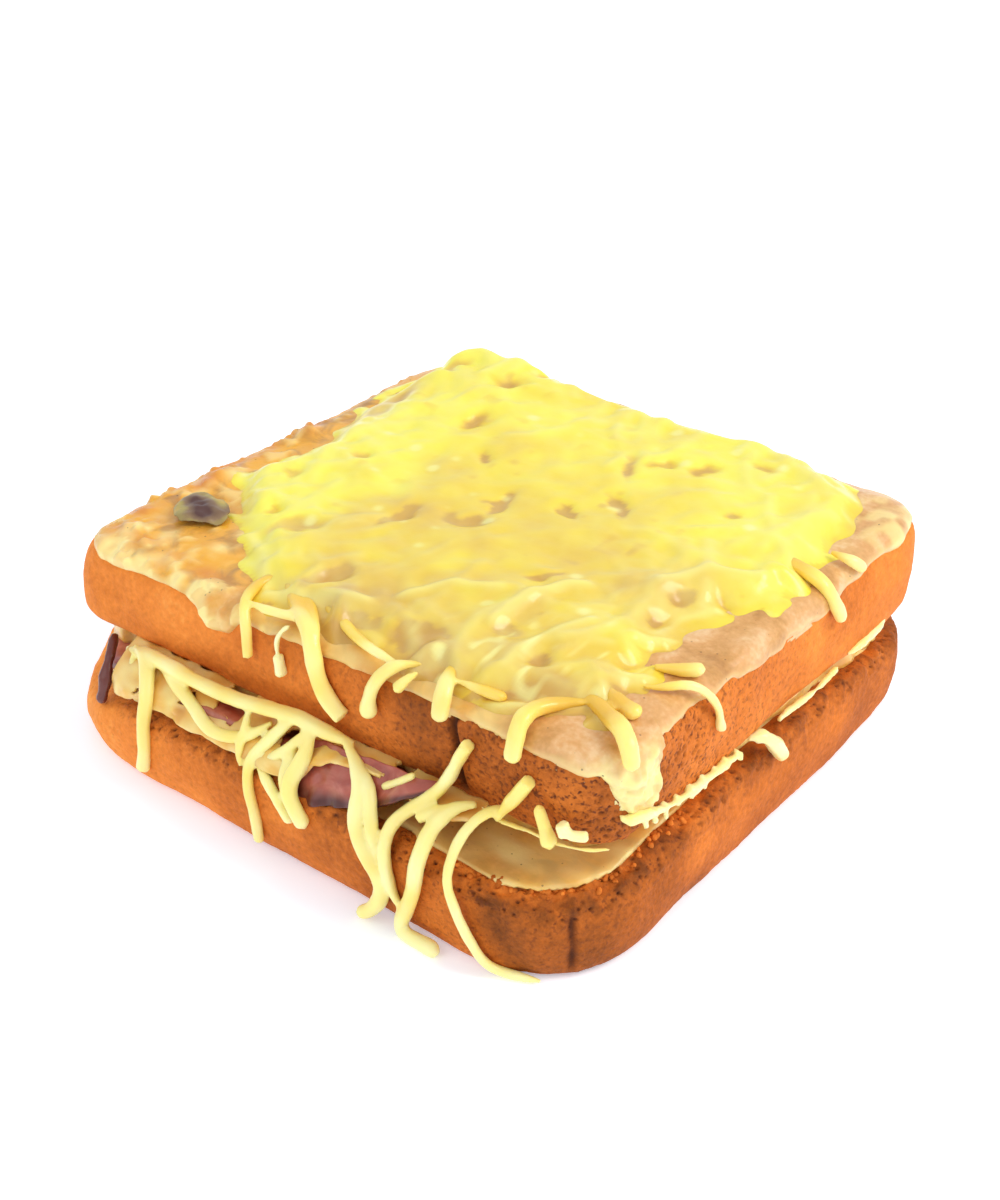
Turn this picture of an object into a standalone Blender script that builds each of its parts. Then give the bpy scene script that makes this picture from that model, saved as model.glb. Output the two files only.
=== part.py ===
"""Croque monsieur: two square slices of toasted sandwich bread with bechamel, a slice of ham
and grated cheese between them, and a melted topping of bechamel and grated cheese.

All sizes below are in millimetres; the mesh is written in metres, +Z up.  The front face
looks along -Y, the right face along +X.  The nearest corner lies at +X, -Y.
"""

import math

import bmesh
import bpy
import numpy as np

MM = 0.001
GAP = 0.35                  # air kept between neighbouring solids

# Plan of the bottom slice: its corners in anticlockwise order from the right one (+X, +Y).
BOTTOM_CORNERS = ((53.6, 48.0), (-53.5, 48.5), (-54.0, -52.8), (53.6, -52.3))
BOTTOM_RADII = (17.0, 18.0, 24.0, 16.0)
BOTTOM_HEIGHT = 14.6        # of the crust at the front face
NEAR_SQUASH = 2.5           # how much lower the crust is at the near corner
NEAR_SQUASH_WIDTH = 16.0
LEFT_SQUASH = 8.4           # and at the left corner, where the slice is pressed flat
LEFT_SQUASH_WIDTH = 21.0
BACK_SQUASH = 2.2           # and along the back edge, under the lid
BACK_SQUASH_LENGTH = 40.0
RIGHT_RISE = 1.8            # how much higher the crust stands along the right face
RIGHT_RISE_AT = 2.0         # the middle of that rise in Y, its half length, and how steeply
RIGHT_RISE_LENGTH = 42.0    # it climbs towards the face
RIGHT_RISE_POWER = 5
DISH = 2.8                  # how far the crumb is pressed in below the crust's rim
DISH_NEAR = 1.3             # the same at the near corner
DISH_NEAR_WIDTH = 26.0
DISH_LEFT_SHARE = 0.8       # share of the dish that is missing at the left corner
DISH_LEFT_WIDTH = 20.0
DISH_START = 2.5            # width of the level rim, and of the slope down to the dish
DISH_SLOPE = 10.0

# Plan and corner heights of the top slice, listed as right, back, left, near.
TOP_CORNERS = ((51.8, 45.3), (-44.5, 47.5), (-50.4, -43.8), (53.6, -44.8))
TOP_FOOT_CORNERS = ((53.2, 43.0), (-46.5, 43.5), (-51.0, -45.0), (52.8, -43.6))
TOP_RADII = (8.0, 16.0, 7.0, 9.0)
TOP_HEIGHTS = (33.0, 29.3, 30.8, 37.3)
TOP_FOOT_HEIGHTS = (17.8, 15.7, 18.7, 20.3)
TOP_VAULT = 1.2             # how far the middle of its underside is pushed up
TOP_VAULT_SLOPE = 16.0
TOP_CROWN = 0.8             # and how far the middle of its upper side stands up
TOP_CROWN_SLOPE = 24.0

CRUST_ROUND = 2.2           # radius of the rounded edges of a slice
CRUST_BULGE = 0.5           # how far the crust bellies out at half height
FOOT_INSET = 0.3            # how much smaller the bottom slice is where it stands
SIDE_RINGS = (5.0, 10.0)    # rings of points inside the rounded edge of a slice

# Layers, from the bottom up.
SAUCE = 1.0                 # bechamel on the bottom slice
HAM = 1.8
HAM_LIFT = 1.015            # air between sauce and ham, three gaps at the tightest folds
HAM_WAVE = 0.4              # height of the ham's folds
HAM_FOLD = 4.6              # width of a fold, and how its line wanders from front to back
HAM_FOLD_SWING = 0.4
HAM_FOLD_LENGTH = 6.0
HAM_FOLD_START = 30.0       # how far forward the folds begin, and over what length they grow
HAM_FOLD_GROWTH = 16.0
CHEESE_DROP = 43.5          # where, in X, the filling cheese comes down beside the ham
BECHAMEL = 1.3              # bechamel on the top slice
MELT = 1.9                  # melted grated cheese on top
HEAP = 3.2                  # how much thicker it lies heaped up at the back corner
HEAP_AT = (-32.0, 40.0)
HEAP_WIDTH = 20.0
CHEESE_DROP_SLOPE = 3.5     # length of the slope where the filling cheese comes down
CHEESE_LEAST = 0.8          # least thickness of the filling cheese
STRAND = 1.35               # radius of a hanging strand of grated cheese
BIT_AT = (-36.2, -27.1)     # the dark bit that lies on the topping: place, half axes and height
BIT_HALF = (4.6, 3.4)
BIT_HEIGHT = 2.2
BIT_ROWS = ((1.2, 0.0), (0.0, 0.6), (0.6, 1.5), (1.7, 2.0))  # inset and height of its rows
BIT_SIDES = 12
BIT_UNEVEN = 0.08

# Where each layer ends: the distance that it keeps from the slice's rim, the height and phase of
# its uneven edge, and changes towards stated directions.  A change is a direction in degrees
# from +X, a width in degrees and a distance in millimetres; a minus sign brings the layer out.
SAUCE_EDGE = (3.4, 0.5, 0.7, ())
HAM_EDGE = (8.5, 0.8, 2.2, (
    (-106.0, 28.0, -6.0), (-138.0, 6.0, -5.0), (-44.0, 17.0, 15.0), (0.0, 40.0, 6.0),
    (90.0, 50.0, 3.5), (180.0, 32.0, 3.0)))
FILLING_EDGE = (7.6, 0.6, 4.0, (
    (-92.0, 34.0, -4.4), (2.0, 30.0, -4.4), (-44.0, 14.0, 6.5), (100.0, 45.0, 4.5),
    (178.0, 34.0, 5.0)))
LID_SAUCE_EDGE = (0.9, 1.0, 1.3, ((180.0, 38.0, 3.2), (-39.0, 5.0, -3.6), (-120.0, 9.0, -3.2)))
LID_CHEESE_EDGE = (6.8, 1.7, 5.1, ((-143.0, 15.0, 18.0), (35.0, 20.0, -2.5), (-25.0, 12.0, 4.0)))
LID_SAUCE_DRIP = (1.0, 0.0, 0.0, ((-39.0, 4.5, 13.0), (-120.0, 9.0, 3.5)))
LID_CHEESE_DRIP = (2.0, 0.0, 0.0, ())
EDGE_WAVES = ((5, 1.0, 1.0), (11, 0.7, 2.1), (17, 0.5, 3.7))  # turns, height and phase factor
SAUCE_ROUND = 0.3           # radius of the rounded edge of the sauce, ham and filling cheese
HAM_ROUND = 0.6
FILLING_ROUND = 0.25
LAYER_RINGS = ((0.0, 0.45), (5.0, 1.2), (10.0, 3.0))  # rings of a layer: distance and least inset
TOPPING_RINGS = (0.0, 2.5, 8.0)
TOPPING_SINK = 5.0          # how far under the lid's surface the topping's cutter goes
TOPPING_CLEAR = 12.0        # and how far above it

ARC_STEPS = 5               # segments round each corner of a slice
SIDE_STEPS = 5              # segments along each side
ROUTE_STEPS = 2             # segments between two points of a strand's route
INNER_RINGS = (0.45,)       # rings between the pressed rim and the middle of a slice

# Strands from the filling down the front face: where each leaves the filling, how far it
# drifts along the face, the height of its lower end, how far it stands off the crust, and how
# far behind the face it begins.
FRONT_STRANDS = (
    (-22.0, -2.5, 5.6, 0.2, 6.8),
    (2.5, -3.0, 2.6, 0.2, 6.8),
    (7.0, -1.0, 10.8, 0.3, 6.8),
    (12.0, -3.5, 10.6, 1.5, 6.8),
    (19.0, 1.5, 1.7, 1.0, 6.8),
    (31.0, -6.0, 3.2, 0.5, 10.5),
    (35.0, -6.0, 1.7, 1.6, 11.5),
    (38.0, 3.5, 2.2, 0.3, 12.0),
)
FILLING_ROOT_RISE = 1.5     # how far inside the face a filling strand turns over the rim
# Strands from the melted topping over the edge of the lid: place along the edge, drift and drop.
LID_STRANDS_FRONT = (
    (-7.0, -1.0, 6.5),
    (4.0, 5.0, 8.5),
    (18.0, -4.0, 6.8),
    (29.0, -1.5, 3.5),
    (43.0, -3.0, 6.5),
)
LID_STRANDS_RIGHT = (
    (-27.0, 5.0, 4.5),
    (10.0, 5.0, 4.0),
)


def clear_scene():
    """Take away everything that the scene starts with."""
    for thing in list(bpy.data.objects):
        bpy.data.objects.remove(thing, do_unlink=True)


def material(name, colour, roughness, metallic=0.0):
    """A plain Principled BSDF material; the colour is linear RGB."""
    made = bpy.data.materials.new(name)
    made.use_nodes = True
    shader = made.node_tree.nodes["Principled BSDF"]
    shader.inputs["Base Color"].default_value = (*colour, 1.0)
    shader.inputs["Roughness"].default_value = roughness
    shader.inputs["Metallic"].default_value = metallic
    return made


# ---------------------------------------------------------------- plan outlines and height fields

def rounded_outline(corners, radii):
    """Points of a four-sided outline with rounded corners, anticlockwise."""
    corners = [np.array(corner) for corner in corners]
    arcs = []
    for index, corner in enumerate(corners):
        back = corners[index - 1] - corner
        ahead = corners[(index + 1) % len(corners)] - corner
        back = back / np.linalg.norm(back)
        ahead = ahead / np.linalg.norm(ahead)
        half = math.acos(float(back @ ahead)) / 2
        middle = (back + ahead) / np.linalg.norm(back + ahead)
        centre = corner + middle * radii[index] / math.sin(half)
        first = corner + back * radii[index] / math.tan(half) - centre
        sweep = math.pi - 2 * half
        arc = []
        for step in range(ARC_STEPS + 1):
            turn = sweep * step / ARC_STEPS
            cos, sin = math.cos(turn), math.sin(turn)
            arc.append(centre + np.array((first[0] * cos - first[1] * sin,
                                          first[0] * sin + first[1] * cos)))
        arcs.append(arc)
    points = []
    for index, arc in enumerate(arcs):
        points += arc
        start, end = arc[-1], arcs[(index + 1) % len(arcs)][0]
        points += [start + (end - start) * step / SIDE_STEPS for step in range(1, SIDE_STEPS)]
    return np.array(points)


def inward(outline, distance):
    """The outline moved towards its middle by a distance, one number or one for each point."""
    centre = outline.mean(axis=0)
    ray = centre - outline
    length = np.linalg.norm(ray, axis=1, keepdims=True)
    return outline + ray / length * np.reshape(distance, (-1, 1))


def bump(x, y, at, width):
    """A smooth round rise of height 1 at a place in plan."""
    return np.exp(-((x - at[0]) ** 2 + (y - at[1]) ** 2) / width ** 2)


def smooth(value):
    """0 below 0, 1 above 1, and a soft step between."""
    value = np.clip(value, 0.0, 1.0)
    return value * value * (3 - 2 * value)


def rim_depth(x, y, outline):
    """How far inside the outline each place lies; negative outside it."""
    here = np.stack((x, y), axis=-1)
    start = outline
    side = np.roll(outline, -1, axis=0) - start
    offset = here[:, None, :] - start[None]
    along = np.clip((offset * side).sum(-1) / (side * side).sum(-1), 0, 1)
    gap = np.linalg.norm(offset - along[..., None] * side, axis=-1)
    cross = side[:, 0] * offset[..., 1] - side[:, 1] * offset[..., 0]
    nearest = gap.argmin(axis=1)
    rows = np.arange(len(here))
    return gap[rows, nearest] * np.sign(cross[rows, nearest])


def blend_heights(x, y, heights, corners):
    """A height that runs evenly between the four corners of a slice."""
    half_x = max(corner[0] for corner in corners)
    half_y = max(corner[1] for corner in corners)
    across = (x / half_x + 1) / 2
    deep = (y / half_y + 1) / 2
    right, back, left, near = heights
    rear = back * (1 - across) + right * across
    front = left * (1 - across) + near * across
    return rear * deep + front * (1 - deep)


BOTTOM = rounded_outline(BOTTOM_CORNERS, BOTTOM_RADII)
LID = rounded_outline(TOP_CORNERS, TOP_RADII)
LID_FOOT = rounded_outline(TOP_FOOT_CORNERS, TOP_RADII)


def rim_top(x, y):
    """Height of the bottom slice's crust."""
    near, left = BOTTOM_CORNERS[3], BOTTOM_CORNERS[2]
    height = BOTTOM_HEIGHT - NEAR_SQUASH * bump(x, y, near, NEAR_SQUASH_WIDTH)
    height = height - LEFT_SQUASH * bump(x, y, left, LEFT_SQUASH_WIDTH)
    height = height - BACK_SQUASH * smooth(y / BACK_SQUASH_LENGTH)
    climb = np.clip(x / BOTTOM_CORNERS[0][0], 0, 1) ** RIGHT_RISE_POWER
    return height + RIGHT_RISE * climb * np.exp(-((y - RIGHT_RISE_AT) / RIGHT_RISE_LENGTH) ** 2)


def crumb_top(x, y):
    """Upper surface of the bottom slice: level with the crust, pressed in inside it."""
    near = bump(x, y, BOTTOM_CORNERS[3], DISH_NEAR_WIDTH)
    left = bump(x, y, BOTTOM_CORNERS[2], DISH_LEFT_WIDTH)
    dish = DISH - (DISH - DISH_NEAR) * near - DISH_LEFT_SHARE * DISH * left
    return rim_top(x, y) - dish * smooth((rim_depth(x, y, BOTTOM) - DISH_START) / DISH_SLOPE)


def sauce_top(x, y):
    """Upper surface of the bechamel on the bottom slice."""
    return crumb_top(x, y) + GAP + SAUCE


def ham_under(x, y):
    """Underside of the ham, which rises and falls in slow folds."""
    fold = 0.5 + 0.5 * np.sin(x / HAM_FOLD + HAM_FOLD_SWING * np.sin(y / HAM_FOLD_LENGTH))
    edge = smooth((-y - HAM_FOLD_START) / HAM_FOLD_GROWTH)
    return sauce_top(x, y) + HAM_LIFT + HAM_WAVE * fold * edge


def ham_top(x, y):
    """Upper surface of the ham."""
    return ham_under(x, y) + HAM


def lid_under(x, y):
    """Underside of the top slice."""
    middle = smooth(rim_depth(x, y, LID_FOOT) / TOP_VAULT_SLOPE)
    return blend_heights(x, y, TOP_FOOT_HEIGHTS, TOP_FOOT_CORNERS) + TOP_VAULT * middle


def lid_top(x, y):
    """Upper side of the top slice."""
    middle = smooth(rim_depth(x, y, LID) / TOP_CROWN_SLOPE)
    return blend_heights(x, y, TOP_HEIGHTS, TOP_CORNERS) + TOP_CROWN * middle


# ---------------------------------------------------------------------------- building solids

def closed_body(name, rows, low_middle, high_middle):
    """Join rows of points, all of one length, into a closed body with a point at each end."""
    mesh = bmesh.new()
    loops = [[mesh.verts.new(point * MM) for point in row] for row in rows]
    bottom = mesh.verts.new(np.array(low_middle) * MM)
    top = mesh.verts.new(np.array(high_middle) * MM)
    count = len(loops[0])
    for index in range(count):
        after = (index + 1) % count
        mesh.faces.new((bottom, loops[0][after], loops[0][index]))
        mesh.faces.new((top, loops[-1][index], loops[-1][after]))
        for lower, upper in zip(loops, loops[1:]):
            mesh.faces.new((lower[index], lower[after], upper[after], upper[index]))
    bmesh.ops.triangulate(mesh, faces=mesh.faces)
    data = bpy.data.meshes.new(name)
    mesh.to_mesh(data)
    mesh.free()
    made = bpy.data.objects.new(name, data)
    bpy.context.scene.collection.objects.link(made)
    return made


def level(plan, height):
    """A row of points: the plan, each at the height that the field gives there."""
    return np.column_stack((plan, height(plan[:, 0], plan[:, 1])))


def rings(outline, insets):
    """Plan rings of one side of a body, from its rim to its middle."""
    plans = [inward(outline, inset) for inset in insets]
    centre = outline.mean(axis=0)
    last = plans[-1]
    return plans + [last + (centre - last) * share for share in INNER_RINGS]


def slab(name, foot, head, under, over, rounding, insets, bulge=0.0):
    """A flat body between two outlines and two height fields, with rounded edges."""
    rows = [level(plan, under) for plan in rings(foot, insets)]
    rows.reverse()
    for share in (0.5, 1.0):
        turn = share * math.pi / 2
        row = level(inward(foot, insets[0] * (1 - math.sin(turn))), under)
        row[:, 2] += rounding * (1 - math.cos(turn))
        rows.append(row)
    upper = []
    for share in (1.0, 0.5):
        turn = share * math.pi / 2
        row = level(inward(head, insets[0] * (1 - math.sin(turn))), over)
        row[:, 2] -= rounding * (1 - math.cos(turn))
        upper.append(row)
    if bulge:
        middle = (rows[-1] + upper[0]) / 2
        middle[:, :2] = inward(middle[:, :2], -bulge)
        rows.append(middle)
    rows += upper + [level(plan, over) for plan in rings(head, insets)]
    low_centre = level(foot.mean(axis=0, keepdims=True), under)[0]
    high_centre = level(head.mean(axis=0, keepdims=True), over)[0]
    return closed_body(name, rows, low_centre, high_centre)


def layer(name, reach, under, over, rounding):
    """A thin body on the bottom slice; reach is how far each edge point lies inside its rim."""
    edge = inward(BOTTOM, reach)
    deep = [np.maximum(inside - reach, least) for inside, least in LAYER_RINGS]
    return slab(name, edge, edge, under, over, rounding, deep)


def column_angle(outline):
    """Direction of each outline point from the middle, in degrees from +X."""
    ray = outline - outline.mean(axis=0)
    return np.degrees(np.arctan2(ray[:, 1], ray[:, 0]))


def around(outline, at, width):
    """1 for outline points in a direction, fading to 0 at a width of some degrees."""
    away = (column_angle(outline) - at + 180.0) % 360.0 - 180.0
    return np.exp(-(away / width) ** 2)


def wobble(outline, phase):
    """An uneven wave of about -1 to 1 round an outline."""
    angle = np.radians(column_angle(outline))
    waves = [height * np.sin(turns * angle + shift * phase) for turns, height, shift in EDGE_WAVES]
    return sum(waves) / 2.0


def edge_values(outline, edge):
    """The distances of one of the edge descriptions above, one for each point of an outline."""
    base, uneven, phase, changes = edge
    values = base + uneven * wobble(outline, phase)
    for at, width, change in changes:
        values = values + change * around(outline, at, width)
    return values


def hidden(thing):
    """Mark a body as a cutter, which is not itself part of the sandwich."""
    thing.hide_render = True
    thing.display_type = "WIRE"
    return thing


def cut(body, operation, tool):
    """Add an exact Boolean with one body or with a collection of bodies."""
    step = body.modifiers.new(operation.title(), "BOOLEAN")
    step.operation = operation
    step.solver = "EXACT"
    if isinstance(tool, bpy.types.Collection):
        step.operand_type = "COLLECTION"
        step.collection = tool
    else:
        step.object = tool


def slice_body(name, foot, head, under, over):
    """One slice of bread."""
    insets = (CRUST_ROUND, *SIDE_RINGS)
    return slab(name, foot, head, under, over, CRUST_ROUND, insets, CRUST_BULGE)


def grown_lid(name, distance, heap=0.0):
    """The top slice grown by a distance all round, and more at the heap, as a cutter."""
    plain = inward(LID, -distance)
    foot = inward(LID_FOOT, -distance)
    extra = CRUST_ROUND + distance

    def under(x, y):
        return lid_under(x, y) - distance

    def over(x, y):
        return lid_top(x, y) + distance + heap * bump(x, y, HEAP_AT, HEAP_WIDTH)

    insets = (extra, *(inset + distance for inset in SIDE_RINGS))
    return hidden(slab(name, foot, plain, under, over, extra, insets, CRUST_BULGE))


# ------------------------------------------------------------------------------------ strands

def tube(name, points, radius):
    """A strand of grated cheese: a smooth round bar through the points, with closed ends."""
    curve = bpy.data.curves.new(name, "CURVE")
    curve.dimensions = "3D"
    curve.bevel_depth = radius * MM
    curve.bevel_resolution = 1
    curve.use_fill_caps = True
    spline = curve.splines.new("POLY")
    spline.points.add(len(points) - 1)
    for place, point in zip(spline.points, points):
        place.co = (*(np.array(point) * MM), 1.0)
    made = bpy.data.objects.new(name, curve)
    bpy.context.scene.collection.objects.link(made)
    bpy.context.view_layer.update()
    data = bpy.data.meshes.new_from_object(made.evaluated_get(bpy.context.evaluated_depsgraph_get()))
    bpy.data.objects.remove(made, do_unlink=True)
    bpy.data.curves.remove(curve)
    solid = bpy.data.objects.new(name, data)
    bpy.context.scene.collection.objects.link(solid)
    return hidden(solid)


def smooth_route(points, steps):
    """Points read from a Catmull-Rom curve through the route's own points."""
    knots = [np.array(point, dtype=float) for point in points]
    knots = [2 * knots[0] - knots[1]] + knots + [2 * knots[-1] - knots[-2]]
    route = []
    for a, b, c, d in zip(knots, knots[1:], knots[2:], knots[3:]):
        for step in range(steps):
            t = step / steps
            route.append(0.5 * (2 * b + (c - a) * t + (2 * a - 5 * b + 4 * c - d) * t ** 2
                                + (3 * b - a - 3 * c + d) * t ** 3))
    route.append(knots[-2])
    return route


def front_face(x, outline):
    """Where the front of an outline lies in Y at each X."""
    low = outline[outline[:, 1] < 0]
    low = low[low[:, 0].argsort()]
    return float(np.interp(x, low[:, 0], low[:, 1]))


def field(height, x, y):
    """A height field read at one place."""
    return float(height(np.array([x]), np.array([y]))[0])


def filling_strand(number, start, drift, end, stand_off, root):
    """A strand that leaves the filling, turns over the rim and hangs down the front face."""
    clear = STRAND + GAP + CRUST_BULGE + stand_off
    face = front_face(start, BOTTOM)
    rim = field(rim_top, start, face)
    finish = start + drift
    foot = front_face(finish, BOTTOM) - clear

    def laid(depth):
        y = face + depth
        height = field(ham_top, start, y) + 2 * GAP + STRAND
        if y > front_face(start, LID_FOOT) - 1.0:
            height = min(height, field(lid_under, start, y) - 2 * GAP - STRAND)
        return (start, y, height)

    points = (
        laid(root),
        laid(0.5 * root),
        laid(FILLING_ROOT_RISE),
        (start + 0.2 * drift, face - clear - 0.3, rim + 0.4),
        (start + 0.7 * drift, foot - 0.2, 0.55 * end + 0.45 * rim),
        (finish, foot, end),
    )
    return tube(f"filling_strand_{number}", smooth_route(points, ROUTE_STEPS), STRAND)


def lid_strand(number, start, side, turn, drop):
    """A strand of the topping that hangs over an edge of the lid.

    start and side are its place on the rim and its outward direction in plan, turn is how far
    it drifts along the edge, and drop how far down it hangs.
    """
    along = np.array((-side[1], side[0]))
    cover = GAP + BECHAMEL + GAP + STRAND + 0.1
    clear = CRUST_BULGE + GAP + BECHAMEL + GAP + STRAND + 0.2

    def place(out, drift, height):
        plan = start + side * out + along * drift
        return (plan[0], plan[1], height)

    def over(out, drift):
        plan = start + side * out + along * drift
        return field(lid_top, plan[0], plan[1]) + cover

    rim = field(lid_top, start[0], start[1])
    points = (
        place(-8.0, -0.5 * turn, over(-8.0, -0.5 * turn)),
        place(-3.0, -0.1 * turn, over(-3.0, -0.1 * turn)),
        place(0.6, 0.0, rim + cover - 0.6),
        place(clear, 0.3 * turn, rim - 0.8),
        place(clear, 0.6 * turn, rim - drop),
    )
    return tube(f"lid_strand_{number}", smooth_route(points, ROUTE_STEPS), STRAND)


def gather(name, solids):
    """Put cutters into a collection of their own, for one Boolean."""
    group = bpy.data.collections.new(name)
    bpy.context.scene.collection.children.link(group)
    for solid in solids:
        bpy.context.scene.collection.objects.unlink(solid)
        group.objects.link(solid)
    return group


# ------------------------------------------------------------------------------- the sandwich

def make_bottom_slice():
    def table(x, y):
        return np.zeros_like(x)

    body = slice_body("bottom_slice", inward(BOTTOM, FOOT_INSET), BOTTOM, table, crumb_top)
    body.data.materials.append(material("toasted_crust", (0.57, 0.155, 0.045), 0.75))
    return body


def make_bottom_bechamel():
    def under(x, y):
        return crumb_top(x, y) + GAP

    reach = edge_values(BOTTOM, SAUCE_EDGE)
    body = layer("bottom_bechamel", reach, under, sauce_top, SAUCE_ROUND)
    body.data.materials.append(material("baked_bechamel", (0.60, 0.43, 0.22), 0.4))
    return body


def make_ham():
    body = layer("ham", edge_values(BOTTOM, HAM_EDGE), ham_under, ham_top, HAM_ROUND)
    body.data.materials.append(material("cooked_ham", (0.52, 0.13, 0.11), 0.45))
    return body


def make_filling_cheese():
    def under(x, y):
        past_ham = smooth((x - CHEESE_DROP) / CHEESE_DROP_SLOPE)
        return ham_top(x, y) * (1 - past_ham) + sauce_top(x, y) * past_ham + 2 * GAP

    def over(x, y):
        return np.maximum(under(x, y) + CHEESE_LEAST, lid_under(x, y) - 1.4 * GAP)

    reach = edge_values(BOTTOM, FILLING_EDGE)
    body = layer("filling_cheese", reach, under, over, FILLING_ROUND)
    strands = [filling_strand(number, *row) for number, row in enumerate(FRONT_STRANDS)]
    cut(body, "UNION", gather("filling_strands", strands))
    body.data.materials.append(material("melted_cheese", (0.86, 0.68, 0.25), 0.35))
    return body


def make_top_slice():
    body = slice_body("top_slice", LID_FOOT, LID, lid_under, lid_top)
    body.data.materials.append(material("toasted_crust_lid", (0.50, 0.14, 0.045), 0.75))
    return body


def topping(name, reach, drip, inner, outer, heap=0.0):
    """A coat over the lid from one distance off it to another, cut to an uneven edge."""
    edge = inward(LID, reach)

    def over(x, y):
        return lid_top(x, y) + TOPPING_CLEAR

    rows = [level(plan, lid_top) for plan in rings(edge, TOPPING_RINGS)]
    for row, sink in zip(rows, (drip, drip, TOPPING_SINK, TOPPING_SINK)):
        row[:, 2] -= sink
    rows.reverse()
    rows += [level(plan, over) for plan in rings(edge, TOPPING_RINGS)]
    centre = edge.mean(axis=0, keepdims=True)
    low = level(centre, lid_top)[0] - np.array((0.0, 0.0, TOPPING_SINK))
    body = closed_body(name, rows, low, level(centre, over)[0])
    cut(body, "INTERSECT", grown_lid(f"{name}_outer", outer, heap))
    cut(body, "DIFFERENCE", grown_lid(f"{name}_inner", inner))
    return body


def make_top_bechamel():
    reach = edge_values(LID, LID_SAUCE_EDGE)
    drip = edge_values(LID, LID_SAUCE_DRIP)
    body = topping("top_bechamel", reach, drip, GAP, GAP + BECHAMEL)
    body.data.materials.append(material("baked_bechamel_lid", (0.70, 0.50, 0.26), 0.4))
    return body


def make_top_cheese():
    reach = edge_values(LID, LID_CHEESE_EDGE)
    drip = edge_values(LID, LID_CHEESE_DRIP)
    inner = GAP + BECHAMEL + GAP
    body = topping("top_cheese", reach, drip, inner, inner + MELT, HEAP)
    strands = []
    for number, (x, drift, drop) in enumerate(LID_STRANDS_FRONT):
        start = np.array((x, front_face(x, LID)))
        strands.append(lid_strand(f"front_{number}", start, np.array((0.0, -1.0)), drift, drop))
    for number, (y, drift, drop) in enumerate(LID_STRANDS_RIGHT):
        start = np.array((-front_face(y, LID[:, ::-1] * (1, -1)), y))
        strands.append(lid_strand(f"right_{number}", start, np.array((1.0, 0.0)), drift, drop))
    cut(body, "UNION", gather("lid_strands", strands))
    body.data.materials.append(material("melted_cheese_lid", (0.93, 0.78, 0.22), 0.3))
    return body


def make_topping_bit():
    """The one browned bit on the topping that is as large as a berry."""
    turns = np.arange(BIT_SIDES) * math.tau / BIT_SIDES
    uneven = 1 + BIT_UNEVEN * np.sin(3 * turns + 1.0)
    plan = np.column_stack((BIT_AT[0] + BIT_HALF[0] * np.cos(turns) * uneven,
                            BIT_AT[1] + BIT_HALF[1] * np.sin(turns) * uneven))
    rest = GAP + BECHAMEL + GAP
    rows = []
    for inset, rise in BIT_ROWS:
        row = level(inward(plan, inset), lid_top)
        row[:, 2] += rest + rise
        rows.append(row)
    centre = level(np.array([BIT_AT]), lid_top)[0]
    low = centre + np.array((0.0, 0.0, rest + 0.05))
    high = centre + np.array((0.0, 0.0, rest + BIT_HEIGHT))
    body = closed_body("topping_bit", rows, low, high)
    body.data.materials.append(material("browned_bit", (0.09, 0.06, 0.05), 0.6))
    return body


def centre_on_origin(bodies):
    """Move all bodies so that the whole box stands on the origin."""
    bpy.context.view_layer.update()
    graph = bpy.context.evaluated_depsgraph_get()
    corners = []
    for body in bodies:
        data = body.evaluated_get(graph).to_mesh()
        places = np.empty(len(data.vertices) * 3)
        data.vertices.foreach_get("co", places)
        corners.append(places.reshape(-1, 3))
    points = np.vstack(corners)
    low, high = points.min(axis=0), points.max(axis=0)
    shift = ((low[0] + high[0]) / 2, (low[1] + high[1]) / 2, low[2])
    for thing in bpy.data.objects:
        thing.location = [-value for value in shift]
    print("size in mm", np.round((high - low) / MM, 2), "shift", np.round(np.array(shift) / MM, 2))


clear_scene()
SANDWICH = [
    make_bottom_slice(),
    make_bottom_bechamel(),
    make_ham(),
    make_filling_cheese(),
    make_top_slice(),
    make_top_bechamel(),
    make_top_cheese(),
    make_topping_bit(),
]
centre_on_origin(SANDWICH)
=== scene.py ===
# %% [markdown]
# # A croque monsieur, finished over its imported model
# The sandwich is two slices of square loaf with bechamel, ham and grated cheese between them, and more
# bechamel and cheese melted over the lid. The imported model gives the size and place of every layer. This
# lesson gives each layer its real surface: torn crust pores, a poured sauce, strands of cheese that have
# run together, and strands that hang over the edge. Lengths are in millimetres, because that is how a
# cook would talk about a 3 mm strand, and MM turns them into Blender's metres.

# %% Load the sandwich
import math
import bpy
import numpy as np
from mathutils import Matrix, Vector
from mathutils.bvhtree import BVHTree


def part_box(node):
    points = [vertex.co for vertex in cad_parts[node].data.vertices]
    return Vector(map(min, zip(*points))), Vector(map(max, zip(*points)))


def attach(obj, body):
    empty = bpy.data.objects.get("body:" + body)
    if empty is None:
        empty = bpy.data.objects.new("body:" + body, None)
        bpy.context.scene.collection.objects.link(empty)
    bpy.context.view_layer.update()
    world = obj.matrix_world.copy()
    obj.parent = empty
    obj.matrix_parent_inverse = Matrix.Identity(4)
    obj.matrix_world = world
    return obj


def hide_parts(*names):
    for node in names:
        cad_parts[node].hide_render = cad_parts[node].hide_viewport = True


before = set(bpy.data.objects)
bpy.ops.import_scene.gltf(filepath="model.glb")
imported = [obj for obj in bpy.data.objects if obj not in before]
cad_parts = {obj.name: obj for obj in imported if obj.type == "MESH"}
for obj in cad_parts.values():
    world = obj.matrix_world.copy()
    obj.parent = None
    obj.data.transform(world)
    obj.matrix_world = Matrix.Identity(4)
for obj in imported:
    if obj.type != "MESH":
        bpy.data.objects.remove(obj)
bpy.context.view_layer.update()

MM = 0.001
print("layers in the model:", sorted(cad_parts))

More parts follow.
